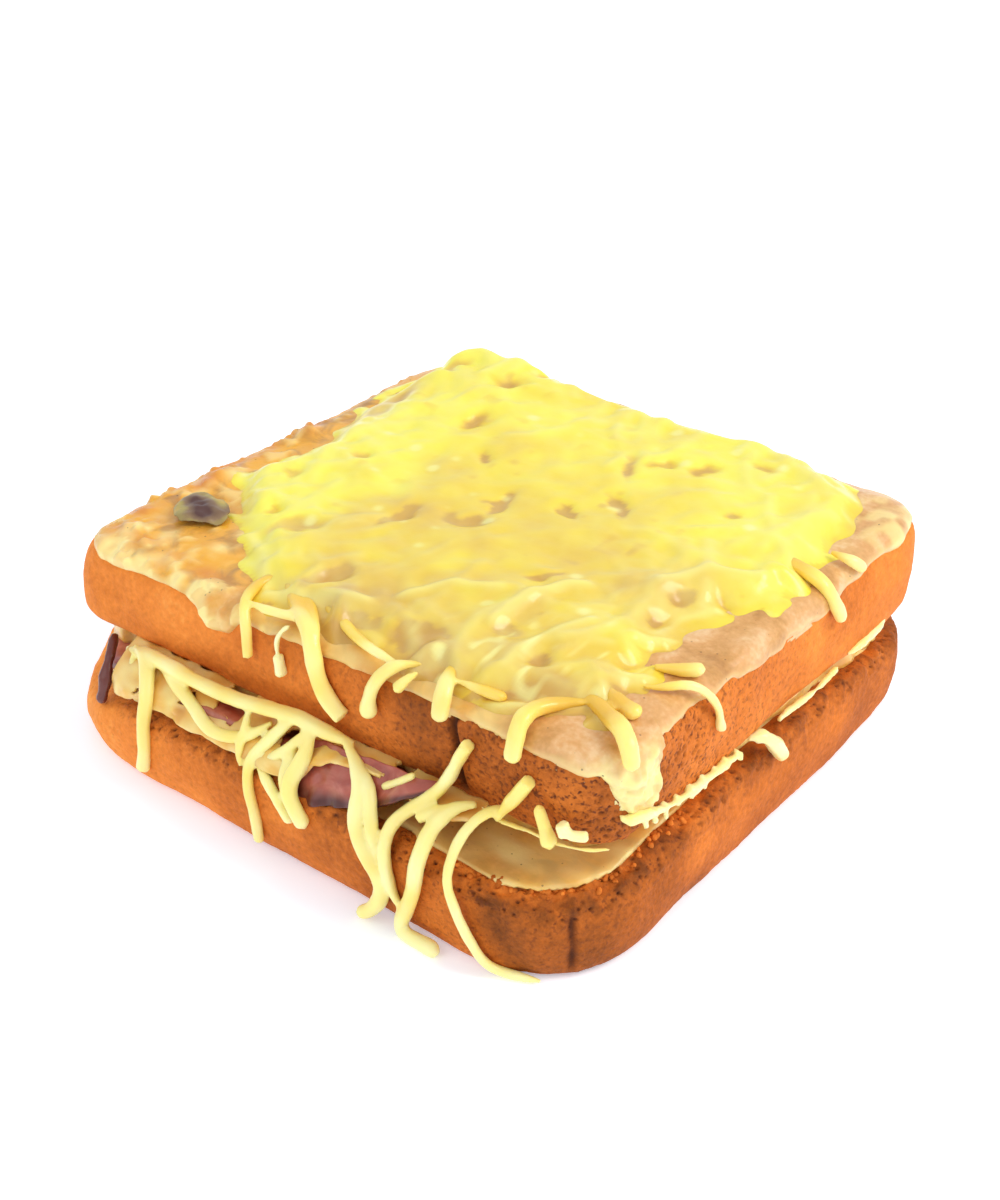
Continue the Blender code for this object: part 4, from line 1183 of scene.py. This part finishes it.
def strands(name, rows, voxel=0.34, warm=0.0, rooted=False, **settings):
    """A welded piece of several strands, each given as its width, its two ends and its places.

    Rooted strands sink into the sheet on the lid and take its deeper colour there.
    """
    parts = [strand(places, width, ends, seed=number) for number, (width, ends, places) in enumerate(rows)]
    piece = weld(name, parts, voxel, **settings)
    points = read(piece)
    if rooted:
        root = soft(depth_inside(points, lid_outline), 0.5, 6.0)
        points[:, 2] -= ROOT_SINK * root
        write(piece, points)
        warm = warm + 0.5 * root + 0.18 * spot(points, (42.0, -33.0, 37.0), (14.0, 12.0, 9.0))
    paint(piece, "melt_and_painted_light", np.clip(0.7 - warm + 0.3 * cloud(points, 6.0, 83), 0, 1))
    paint(piece, "pale", np.clip(0.4 - warm + 0.45 * cloud(points, 4.0, 84), 0, 1))
    finish_piece(piece, strand_cheese, "melted_cheese")
    return piece

# %% Strands that hang from the filling over the front
FRONT = (                       # width, ends, places
    (2.2, ("thin", "cut"), ((-38.1, -40.5, 17.6), (-33.0, -42.5, 20.1), (-30.3, -44.5, 19.2),
                            (-28.4, -46.6, 17.9), (-27.6, -47.9, 16.0), (-28.0, -48.4, 13.0),
                            (-28.1, -48.7, 8.0), (-29.2, -48.6, 3.8))),
    (1.5, ("thin", "thin"), ((-36.4, -41.0, 19.6), (-35.4, -43.0, 17.4), (-34.9, -44.2, 14.0))),
    (2.4, ("thin", "thin"), ((-39.0, -40.5, 17.6), (-32.2, -42.0, 20.1), (-27.3, -43.0, 21.2),
                             (-22.5, -43.3, 21.2), (-17.2, -43.4, 21.3), (-11.8, -43.4, 22.0),
                             (-7.0, -43.2, 22.8), (-1.9, -42.8, 23.6), (1.8, -42.4, 23.5),
                             (5.2, -42.0, 22.9), (9.0, -41.6, 22.8))),
    (2.1, ("thin", "thin"), ((-29.5, -42.5, 20.3), (-23.0, -44.4, 19.0), (-18.2, -46.0, 18.0),
                             (-15.3, -46.8, 17.2), (-11.4, -46.6, 17.4), (-7.6, -45.5, 18.8),
                             (-5.0, -43.5, 21.0))),
    (1.3, ("thin", "thin"), ((-9.9, -43.0, 21.9), (-8.6, -45.6, 19.7), (-8.6, -47.4, 16.6),
                             (-7.9, -48.0, 14.2))),
    (2.1, ("thin", "cut"), ((0.2, -42.3, 24.0), (-1.8, -43.5, 22.6), (-4.4, -45.3, 19.2),
                            (-6.4, -47.0, 16.2), (-6.2, -48.2, 13.9), (-5.7, -48.7, 11.1),
                            (-4.9, -48.7, 7.3), (-4.6, -48.6, 2.6))),
    (1.8, ("thin", "thin"), ((2.3, -42.4, 23.8), (0.7, -44.2, 21.2), (-2.3, -45.8, 17.9),
                             (-5.2, -46.8, 15.8))),
    (1.7, ("thin", "round"), ((-5.9, -46.6, 15.6), (-2.6, -48.0, 14.5), (-0.1, -48.5, 12.2),
                              (1.8, -48.6, 10.4), (2.7, -48.6, 9.6))),
    (1.8, ("thin", "thin"), ((0.1, -43.5, 21.1), (-0.1, -45.4, 18.0), (0.1, -47.4, 15.0),
                             (1.3, -48.4, 12.8))),
    (2.5, ("thin", "round"), ((1.5, -42.3, 23.4), (2.4, -43.8, 21.5), (2.5, -45.8, 19.0),
                              (1.6, -47.4, 16.2), (2.4, -48.6, 14.2), (3.9, -48.8, 12.6),
                              (5.5, -48.8, 10.2))),
    (2.6, ("thin", "round"), ((7.8, -42.0, 23.0), (10.9, -43.4, 21.7), (13.5, -45.2, 20.2),
                              (14.3, -47.0, 18.0), (14.9, -48.4, 15.4), (16.6, -49.0, 13.0),
                              (18.4, -49.0, 10.9), (19.9, -48.9, 8.5), (19.6, -48.8, 5.0),
                              (17.9, -49.4, 2.0), (16.0, -50.2, 1.1))),
    (1.9, ("thin", "thin"), ((11.8, -43.2, 21.5), (14.8, -45.0, 20.3), (16.7, -47.0, 18.2),
                             (18.0, -48.4, 15.0), (19.5, -48.8, 12.0))),
    (2.4, ("cut", "thin"), ((29.3, -41.0, 32.3), (27.7, -41.2, 28.8), (25.8, -41.4, 24.8),
                            (24.6, -42.2, 22.4), (22.4, -43.6, 20.2), (20.8, -45.2, 18.6),
                            (20.0, -47.0, 16.8), (20.2, -48.6, 14.2), (20.8, -49.0, 11.9),
                            (21.2, -48.9, 8.8), (22.2, -48.8, 6.2), (22.9, -48.6, 4.6))),
    (2.6, ("thin", "round"), ((30.9, -41.2, 22.8), (28.4, -42.8, 22.2), (26.9, -45.0, 20.4),
                              (26.6, -47.2, 18.0), (26.2, -48.8, 14.8), (26.0, -49.1, 11.6),
                              (25.0, -49.0, 7.6), (23.2, -48.9, 3.0), (23.2, -49.4, 1.4),
                              (25.2, -49.4, 1.2), (27.8, -49.2, 1.2), (30.4, -49.4, 1.2))),
    (2.1, ("thin", "cut"), ((29.4, -42.4, 22.8), (26.5, -43.8, 21.2), (23.6, -44.8, 19.2))),
    (1.7, ("thin", "thin"), ((35.6, -40.2, 24.4), (33.6, -41.8, 23.6), (32.0, -44.0, 21.8),
                             (31.3, -46.4, 19.0), (31.4, -48.3, 15.8), (31.9, -48.8, 13.2),
                             (32.8, -48.8, 11.0), (34.1, -48.7, 8.0), (35.8, -48.5, 4.9),
                             (37.6, -47.9, 2.2), (39.4, -46.6, 0.9), (42.2, -45.6, 0.8),
                             (44.8, -44.6, 0.8))),
    (2.5, ("cut", "thin"), ((39.7, -41.1, 31.2), (37.8, -41.1, 28.0), (35.6, -41.3, 24.4),
                            (34.6, -41.6, 22.3))),
    (1.9, ("round", "blob"), ((41.0, -41.0, 28.0), (41.8, -40.9, 25.4), (43.3, -41.5, 23.8),
                              (44.0, -41.8, 22.2))),
    (1.3, ("cut", "round"), ((16.3, -43.9, 20.2), (18.7, -43.3, 22.0), (20.9, -42.2, 23.8))))
strands("front_strands", FRONT, warm=-0.02)

# %% Strands that hang over the lid's edge
DRAPED = (
    (1.7, ("thin", "cut"), ((-9.5, -29.0, 36.0), (-12.5, -29.2, 35.9), (-15.4, -30.1, 35.8),
                            (-16.6, -32.2, 35.7), (-16.0, -35.5, 35.6), (-13.8, -38.7, 35.4),
                            (-12.2, -40.6, 33.9), (-11.7, -40.9, 31.0), (-11.6, -41.0, 28.4))),
    (1.8, ("thin", "thin"), ((-13.6, -38.2, 35.9), (-10.6, -38.5, 36.0), (-7.6, -38.0, 36.2),
                             (-4.9, -37.2, 36.5), (-1.2, -37.4, 36.8))),
    (2.6, ("thin", "cut"), ((-14.2, -29.4, 36.2), (-9.5, -33.1, 36.4), (-4.9, -36.4, 36.7),
                            (-1.0, -39.2, 36.5), (1.0, -40.7, 34.0), (2.3, -41.2, 31.2),
                            (3.6, -41.3, 28.7), (5.2, -41.3, 27.1), (6.8, -41.3, 26.4))),
    (1.8, ("thin", "thin"), ((-7.5, -30.2, 36.6), (-3.1, -32.4, 36.8), (1.2, -34.2, 37.0),
                             (6.0, -36.4, 37.2), (11.6, -37.7, 37.2), (15.0, -38.0, 37.4))),
    (1.8, ("thin", "thin"), ((-11.3, -30.8, 36.2), (-7.2, -32.6, 36.6), (-3.2, -35.9, 36.8),
                             (-0.2, -38.8, 36.5), (1.0, -40.6, 34.4), (1.9, -41.2, 32.0))),
    (2.2, ("thin", "blob"), ((17.5, -36.0, 37.9), (15.0, -38.2, 37.6), (13.6, -40.0, 36.4),
                             (12.5, -41.0, 34.2), (11.8, -41.2, 31.4), (11.6, -41.3, 28.6))),
    (1.8, ("thin", "round"), ((18.4, -38.2, 37.7), (16.9, -40.3, 36.4), (16.4, -41.0, 35.0))),
    (2.5, ("thin", "round"), ((20.7, -33.5, 38.3), (22.6, -37.0, 38.2), (24.0, -39.8, 37.6),
                              (24.5, -41.0, 35.6), (24.4, -41.3, 33.8))),
    (1.9, ("thin", "round"), ((24.0, -36.6, 38.2), (26.9, -36.4, 38.3), (30.2, -36.2, 38.5),
                              (32.0, -36.0, 38.6))),
    (2.6, ("thin", "round"), ((40.6, -30.6, 39.3), (37.4, -33.6, 39.2), (36.4, -36.5, 39.2),
                              (36.8, -39.6, 38.6), (37.0, -41.1, 36.2), (36.9, -41.5, 33.2))),
    (2.6, ("thin", "round"), ((37.6, -29.2, 39.1), (41.1, -29.5, 39.3), (44.5, -30.9, 39.4),
                              (47.7, -32.7, 39.6), (50.4, -34.6, 39.2), (52.0, -35.7, 37.2),
                              (52.3, -36.0, 35.9))),
    (2.4, ("thin", "round"), ((39.4, -25.8, 39.1), (42.9, -27.2, 39.2), (45.8, -28.1, 39.2),
                              (48.4, -29.0, 39.2))),
    (1.5, ("thin", "blob"), ((44.6, -22.6, 38.9), (46.6, -21.0, 38.7), (48.5, -19.4, 38.6),
                             (50.4, -17.9, 38.0), (51.8, -16.6, 36.2), (52.0, -15.1, 33.5),
                             (51.9, -14.4, 31.1), (51.9, -13.9, 28.9))),
    (2.4, ("thin", "round"), ((42.8, -17.5, 38.4), (46.5, -15.7, 38.5), (49.2, -14.6, 38.4))),
    (2.3, ("thin", "round"), ((38.2, 14.6, 37.8), (42.6, 16.8, 37.8), (46.8, 16.8, 37.4),
                              (49.8, 16.6, 35.6), (51.3, 17.5, 32.4), (51.6, 19.2, 29.4))),
    (2.1, ("thin", "round"), ((45.6, 24.6, 36.9), (49.0, 24.4, 36.4), (50.9, 26.2, 34.2))))
strands("draped_strands", DRAPED, warm=0.06, rooted=True)
SLIVER = (
    (0.9, ("round", "thin"), ((-4.6, -39.0, 36.0), (-6.2, -40.2, 34.4), (-6.3, -40.6, 32.2),
                              (-5.8, -40.7, 30.6))),
    (1.8, ("cut", "cut"), ((-5.9, -40.6, 31.0), (-5.4, -40.7, 27.8))),
    (2.0, ("cut", "cut"), ((44.9, -41.0, 26.8), (45.5, -40.9, 24.9))),
    (1.6, ("round", "cut"), ((45.4, -40.9, 25.2), (46.9, -40.4, 24.9), (48.2, -39.7, 25.5))))
strands("pale_sliver", SLIVER, 0.3, warm=-0.5)

# %% Cheese squeezed out along the right-hand edge
random = np.random.default_rng(8)
LACE = ((50.4, -34.5, 25.6), (51.3, -31.0, 25.2), (51.4, -27.0, 23.4), (51.3, -22.0, 21.8),
        (51.2, -16.0, 21.4), (51.2, -10.0, 20.8), (51.0, -6.0, 19.8))
squeezed = [(1.3, ("thin", "thin"), LACE), (2.2, ("round", "thin"), LACE[:3])]
for x, y, z in through(LACE)[::5]:
    drop, slip = random.uniform(0.1, 2.1), random.uniform(-1.1, 1.1)
    near_corner = 1.5 if y < -24 else 1.0
    squeezed.append((random.uniform(1.1, 2.5) * near_corner ** 0.5, ("round", "thin"),
                     ((x - 0.9, y, z + 0.9), (x + 0.3, y + 0.5 * slip, z - 0.4 * drop),
                      (x + 0.5, y + slip, z - drop * near_corner))))
squeezed += [
    (2.6, ("thin", "round"), ((50.2, -3.4, 20.2), (51.2, -1.9, 20.4), (52.2, -0.4, 19.4), (52.6, 1.4, 16.8),
                              (52.6, 3.0, 13.9))),
    (1.8, ("round", "round"), ((50.8, -3.0, 20.0), (51.8, 0.0, 20.2))),
    (1.0, ("thin", "round"), ((50.6, 4.6, 19.0), (50.9, 7.7, 19.4), (51.0, 10.5, 19.4), (51.0, 14.8, 18.9),
                              (51.2, 18.0, 19.6), (51.3, 20.2, 20.2))),
    (1.8, ("round", "round"), ((51.0, 18.6, 20.4), (51.6, 18.2, 19.8))),
    (1.5, ("thin", "thin"), ((50.8, 23.6, 20.2), (51.0, 27.2, 20.7), (51.0, 30.9, 20.5),
                             (50.6, 35.2, 20.5)))]
strands("squeezed_cheese", squeezed, 0.3, warm=-0.2, lumps=0.26)
EDGE_FILM = ((0.8, ("thin", "thin"), ((31.0, -40.8, 22.4), (35.1, -40.7, 21.6), (39.0, -40.7, 22.4),
                                      (43.7, -40.4, 22.2), (48.0, -39.0, 22.4), (50.4, -37.0, 22.6))),)
strands("lid_edge_film", EDGE_FILM, 0.3, lumps=0.15)

# %% [markdown]
# ## Between the slices
# A band of melted cheese runs round under the lid's rim and fills the gap down to the sauce and the ham.
# At the front the cheese has run down in a thin film with gaps that show the ham, and at the back and the
# left short strands stick out a little.

# %% The melted filling round the rim
FILLING_INSET, FILLING_WIDTH = 2.6, 9.0      # mm, how far in from the lid's outline, and how wide
CORNER_INSET = 6.0                           # mm further in at the near corner
LID_DIP = 0.3                                # mm that the band's upper side sinks into the lid
BAND_DEPTH = 4.0                             # mm that it hangs down where nothing lies below it
LID_SIDE = 26.5                              # mm, a line from below that goes higher has met the crust
OVERLAP = 0.4                                # mm that the band sinks into the layers below
layer = new_grid("filling_layer", 120, 112)
unit = read(layer) * MM
spread = lid_outline.max(0) - lid_outline.min(0)
layer_plan = unit[:, :2] * spread + (lid_outline.max(0) + lid_outline.min(0)) / 2
found = [meet(bread_high, (x, y, -FAR), (0, 0, 1)) for x, y in layer_plan]
heights = np.array([np.nan if place is None else place[2] for place in found])
heights = np.where(np.isnan(heights), np.nanmedian(heights), heights)
flat_layer = np.column_stack((layer_plan, np.zeros(len(layer_plan))))
layer_margin = depth_inside(layer_plan, lid_outline) - FILLING_INSET + 0.9 * cloud(flat_layer, 4.0, 91)
layer_margin -= CORNER_INSET * spot(flat_layer, (46.0, -40.0, 0.0), (26.0, 22.0, 1.0))
layer_margin = np.where(heights > LID_SIDE, -9.0, layer_margin)
write(layer, np.column_stack((layer_plan, heights + LID_DIP)))
faces = face_points(layer)
delete_faces(layer, (layer_margin[faces].min(axis=1) < 0)
             | (layer_margin[faces].max(axis=1) > FILLING_WIDTH))
upper = len(layer.data.vertices)
apply(layer, "SOLIDIFY", thickness=1.0 * MM, offset=-1.0)
points = read(layer)
filling_floor = surface(pool, ham)
for number in range(upper, len(points)):
    x, y, z = points[number]
    place = meet(filling_floor, (x, y, z), (0, 0, -1))
    points[number, 2] = z - BAND_DEPTH if place is None else place[2] - OVERLAP
write(layer, points)
apply(layer, "REMESH", mode="VOXEL", voxel_size=SKIN * MM)
apply(layer, "SMOOTH", factor=0.5, iterations=3)
points, normals = read(layer), read(layer, "normal")
side = soft(1 - np.abs(normals[:, 2]), 0.2, 0.8)
push = side * (0.8 * cloud(points * (1, 1, 1.6), 3.0, 95) + 0.4 * cloud(points, 1.3, 96))
write(layer, points + normals * push[:, None])
paint(layer, "melt_and_painted_light", np.clip(0.4 + 0.45 * cloud(points * (1, 1, 2), 4.0, 93), 0, 1))
paint(layer, "pale", np.clip(0.2 + 0.5 * cloud(points, 2.0, 94), 0, 0.8))
finish_piece(layer, film_cheese, "melted_cheese", "filling_cheese")

# %% The edges of the curtain and of the ham
def lid_foot(x):
    """The place where the lid's front face turns under, at a distance along the front."""
    for y in np.arange(-43.0, -34.0, 0.25):
        if meet(bread_high, (x, y, -FAR), (0, 0, 1)) is not None:
            break
    return x, y + 0.9, meet(bread_high, (x, y + 0.9, -FAR), (0, 0, 1))[2] + 0.2


# the curtain's upper and lower edges, and the windows in it: each one's place along the front, its height,
# and half its width and its height
CURTAIN_TOP = [lid_foot(x) for x in np.arange(-38.0, 31.5, 3.0)] + [lid_foot(31.0)]
print("curtain's top", np.round(CURTAIN_TOP[::4], 1))
CURTAIN_FOOT = (
    (-38, -45.2, 13.0), (-33, -46.4, 14.2), (-28, -46.8, 15.2), (-20, -47.2, 15.6), (-10, -47.4, 15.6),
    (-2, -47.2, 15.4), (2, -46.6, 15.4), (4, -45.0, 18.6), (8, -43.9, 20.6), (12, -43.2, 21.4),
    (18, -43.0, 21.2), (22, -43.6, 20.4), (27, -43.6, 20.0), (31, -42.6, 20.6))
WINDOWS = (
    (-14.4, 19.2, 4.0, 1.3), (-21.5, 18.1, 1.6, 0.7), (-4.6, 21.8, 1.7, 0.9), (-1.6, 18.9, 2.0, 1.3),
    (-9.5, 17.6, 1.2, 0.8), (10.0, 22.0, 1.8, 0.5), (17.5, 21.6, 2.4, 0.6), (-30.5, 16.2, 1.3, 0.6))
HAM_TOP = (
    (0, -41.8, 20.2), (3, -42.0, 20.6), (8, -42.0, 21.8), (14, -41.8, 22.4), (20, -41.5, 22.8),
    (24, -41.2, 22.8))
HAM_FOOT = (
    (0, -46.0, 14.8), (2, -46.6, 13.4), (5, -46.9, 13.2), (8, -46.7, 14.2), (12, -46.4, 15.6),
    (16, -45.9, 17.4), (20, -44.9, 20.4), (24, -42.6, 22.3))

# %% A torn curtain
WEAVE, DOWN = 0.42, 20          # mm between points along a curtain, and the number of them down it


def curtain(name, top, foot, windows, sag, seed):
    """A thin sheet that hangs between two edges along the front, with windows torn in it.

    Gives the piece, and for each of its points how far down the sheet it lies, from 0 to 1.
    """
    top, foot = np.array(top, float), np.array(foot, float)
    length = top[-1, 0] - top[0, 0]
    piece = new_grid(name, int(length / WEAVE), DOWN)
    unit = read(piece) * MM + 0.5
    across = top[0, 0] + unit[:, 0] * length
    fall = 1 - unit[:, 1]
    upper = np.stack([np.interp(across, top[:, 0], top[:, axis]) for axis in range(3)], axis=1)
    lower = np.stack([np.interp(across, foot[:, 0], foot[:, axis]) for axis in range(3)], axis=1)
    hung = upper + (lower - upper) * fall[:, None]
    hung[:, 1] -= 0.55 * cloud(hung * (1.0, 0.4, 0.4), 2.2, seed) + 0.3 * cloud(hung, 1.4, seed + 1)
    hung[:, 1] -= sag * np.sin(np.pi * fall)
    torn = 0.5 * cloud(hung, 1.8, seed + 2) + 0.3 * cloud(hung, 0.9, seed + 3)
    clear = (1 - fall) * 3.0 + 1.6 * torn + 0.5
    for x, z, half_width, half_height in windows:
        ring = np.hypot((hung[:, 0] - x) / half_width, (hung[:, 2] - z) / half_height)
        clear = np.minimum(clear, (ring - 1) * min(half_width, half_height) + torn)
    write(piece, hung)
    paint(piece, "fall", fall)
    faces = face_points(piece)
    delete_faces(piece, clear[faces].max(axis=1) < 0.0)
    apply(piece, "SUBSURF", levels=1, render_levels=1)
    apply(piece, "SOLIDIFY", thickness=0.6 * MM, offset=0.0)
    fall = np.empty(len(piece.data.vertices), np.float32)
    piece.data.attributes["fall"].data.foreach_get("value", fall)
    return piece, fall

# %% The cheese curtain and the ham's front edge
veil, _ = curtain("filling_curtain", CURTAIN_TOP, CURTAIN_FOOT, WINDOWS, 1.9, 101)
points = read(veil)
paint(veil, "melt_and_painted_light", np.clip(0.4 + 0.4 * cloud(points, 3.0, 105), 0, 1))
paint(veil, "pale", np.clip(0.15 + 0.6 * cloud(points, 2.0, 106), 0, 0.8))
finish_piece(veil, film_cheese, "melted_cheese")
ham_edge, fall = curtain("ham_front_edge", HAM_TOP, HAM_FOOT, (), 0.2, 121)
points = read(ham_edge)
paint(ham_edge, "darkened", np.clip(0.1 + 0.85 * soft(fall, 0.66, 0.92) + 0.2 * cloud(points, 2.0, 125), 0, 1))
finish_piece(ham_edge, ham_finish, "cooked_ham")

# %% Strands that stick out at the back and the left
random = np.random.default_rng(5)
SIDES = ((60, 118), (118, 178), (178, 208))       # degrees round the sandwich where strands stick out
tangle = []
for first, last in SIDES:
    for degrees in np.arange(first, last, 4.0):
        turn = math.radians(degrees + random.uniform(-2.5, 2.5))
        if random.random() < 0.3:
            continue
        out = np.array((math.cos(turn), math.sin(turn), 0.0))
        edge = meet(bread_high, out * FAR + (0, 0, lid_middle_height), -out)[:2]
        top_here = meet(bread_high, (*(edge * 0.93), -FAR), (0, 0, 1))[2] - random.uniform(1.2, 2.2)
        along = np.array((-out[1], out[0])) * random.uniform(4, 10) * random.choice((-1, 1))
        drop = random.uniform(0.4, 2.2)
        tangle.append((random.uniform(1.1, 2.1), ("thin", "thin"), (
            (*(edge * 0.925 - 0.5 * along), top_here + 0.4),
            (*(edge * 0.955 - 0.1 * along), top_here),
            (*(edge * 0.968 + 0.3 * along), top_here - 0.4 * drop),
            (*(edge * 0.96 + 0.6 * along), top_here - drop))))
strands("filling_edge_strands", tangle, 0.45, warm=0.2)

# %% Crumbs torn loose along the near rim of the bottom slice
CRUMBS = 150
CRUMB_TURN = (-43.0, 11.0)      # degrees round the sandwich, middle and spread
CRUMB_INSET = (3.8, 0.6)        # mm in from the rim, middle and spread
CRUMB_RADIUS = (0.18, 0.46)     # mm
RIM_HEIGHT = 9.0                # mm, crumbs that would land lower than this have missed the slice
base_bread = surface(base)
random = np.random.default_rng(3)
loose = []
while len(loose) < CRUMBS:
    turn = math.radians(random.normal(*CRUMB_TURN))
    out = np.array((math.cos(turn), math.sin(turn), 0.0))
    edge = meet(base_bread, out * FAR + (0, 0, BASE_HEIGHT), -out)
    place = meet(base_bread, (*(edge[:2] - out[:2] * random.normal(*CRUMB_INSET)), FAR), (0, 0, -1))
    if place is None or place[2] < RIM_HEIGHT:
        continue
    bpy.ops.object.select_all(action="DESELECT")
    bpy.ops.mesh.primitive_ico_sphere_add(subdivisions=2, radius=random.uniform(*CRUMB_RADIUS) * MM,
                                          location=place * MM + (0, 0, 0.05 * MM))
    bpy.ops.object.transform_apply(location=True, rotation=True, scale=True)
    loose.append(bpy.context.object)
only(loose[0])
for crumb in loose:
    crumb.select_set(True)
bpy.ops.object.join()
crumbs_piece = bpy.context.object
crumbs_piece.name = "bread_crumbs"
points, normals = read(crumbs_piece), read(crumbs_piece, "normal")
points += normals * (0.26 * cloud(points, 0.6, 111) + 0.12 * cloud(points, 0.3, 112))[:, None]
write(crumbs_piece, points)
paint(crumbs_piece, "bake_and_shade", 0.5 + 0.3 * cloud(points, 1.5, 113))
paint(crumbs_piece, "open", np.zeros(len(points)))
paint(crumbs_piece, "recess_shade", np.zeros(len(points)))
finish_piece(crumbs_piece, crust, "toasted_crust")

# %% A dark flap of ham at the left corner
FLAP_PLACES = ((-42.6, -39.8, 18.2), (-40.8, -42.6, 16.6), (-39.7, -44.8, 14.2), (-39.5, -46.0, 11.6),
               (-40.0, -46.4, 9.8))
flap_strand = strand(FLAP_PLACES, 2.4, ("thin", "round"), seed=4, swell=0.5)
flap = weld("ham_flap", [flap_strand], 0.34, lumps=0.15)
paint(flap, "darkened", np.full(len(flap.data.vertices), 0.85))
finish_piece(flap, ham_finish, "cooked_ham")

# %% [markdown]
# ## The dark bit on top
# Near the left corner lies one burnt shred, purple-black in the middle and grey-green where it thins into
# the cheese. It is a low lump, so the model's own is remeshed, flattened, roughened and coloured darkest at
# a few places in its middle.

# %% The browned bit
def browned_shred():
    """A burnt shred, grey-green where it is thin and purple-black at its `core`."""
    finish, tree, shader = new_material("burnt_shred")
    place = add(tree, "TexCoord").outputs["Object"]
    core = stored(tree, "core")
    grain = speckle(tree, place, 1.5, 3.0)
    tone = sums(tree, "MULTIPLY_ADD", grain, 0.3, core)
    colour = add(tree, "ValToRGB", {"Fac": tone}, stops=(
        (0.1, "#D2AE58"), (0.3, "#A2924E"), (0.52, "#80664A"), (0.9, "#50302A"))).outputs["Color"]
    bump = add(tree, "Bump", {"Height": grain, "Strength": 0.4, "Distance": 0.2 * MM})
    set_inputs(tree, shader, {"Base Color": colour, "Normal": bump.outputs["Normal"], "Roughness": 0.45,
                              "IOR": 1.45, "Coat Weight": 0.2, "Coat Roughness": 0.2})
    return finish


BIT_SKIN = 0.3                  # mm between points on the shred
bit = copy_layer("browned_bit", "topping_bit")
apply(bit, "REMESH", mode="VOXEL", voxel_size=BIT_SKIN * MM)
apply(bit, "SMOOTH", factor=0.5, iterations=6)
points, normals = read(bit), read(bit, "normal")
middle = points.mean(axis=0)
ragged = 1 + 0.22 * cloud(points * (1.0, 1.0, 0.0), 2.6, 95)
stretch = np.stack((1.12 * ragged, 1.2 * ragged, np.full(len(points), 0.5)), axis=1)
points = middle + (points - middle) * stretch
points[:, 2] += 0.45 * cloud(points, 2.4, 96) + 0.3 * cloud(points, 1.2, 97) - 0.55
write(bit, points)
core = (spot(points, (-40.6, -22.2, 34.5), (2.0, 1.5, 9.0))
        + spot(points, (-37.2, -23.8, 34.5), (2.0, 1.6, 9.0))
        + 0.45 * spot(points, (-34.8, -21.4, 34.5), (0.8, 1.6, 9.0)))
paint(bit, "core", np.clip(0.2 + 0.75 * core + 0.2 * cloud(points, 1.6, 98), 0, 1))
finish_piece(bit, browned_shred(), "browned_bit", "topping_bit")
bpy.data.objects.remove(section)
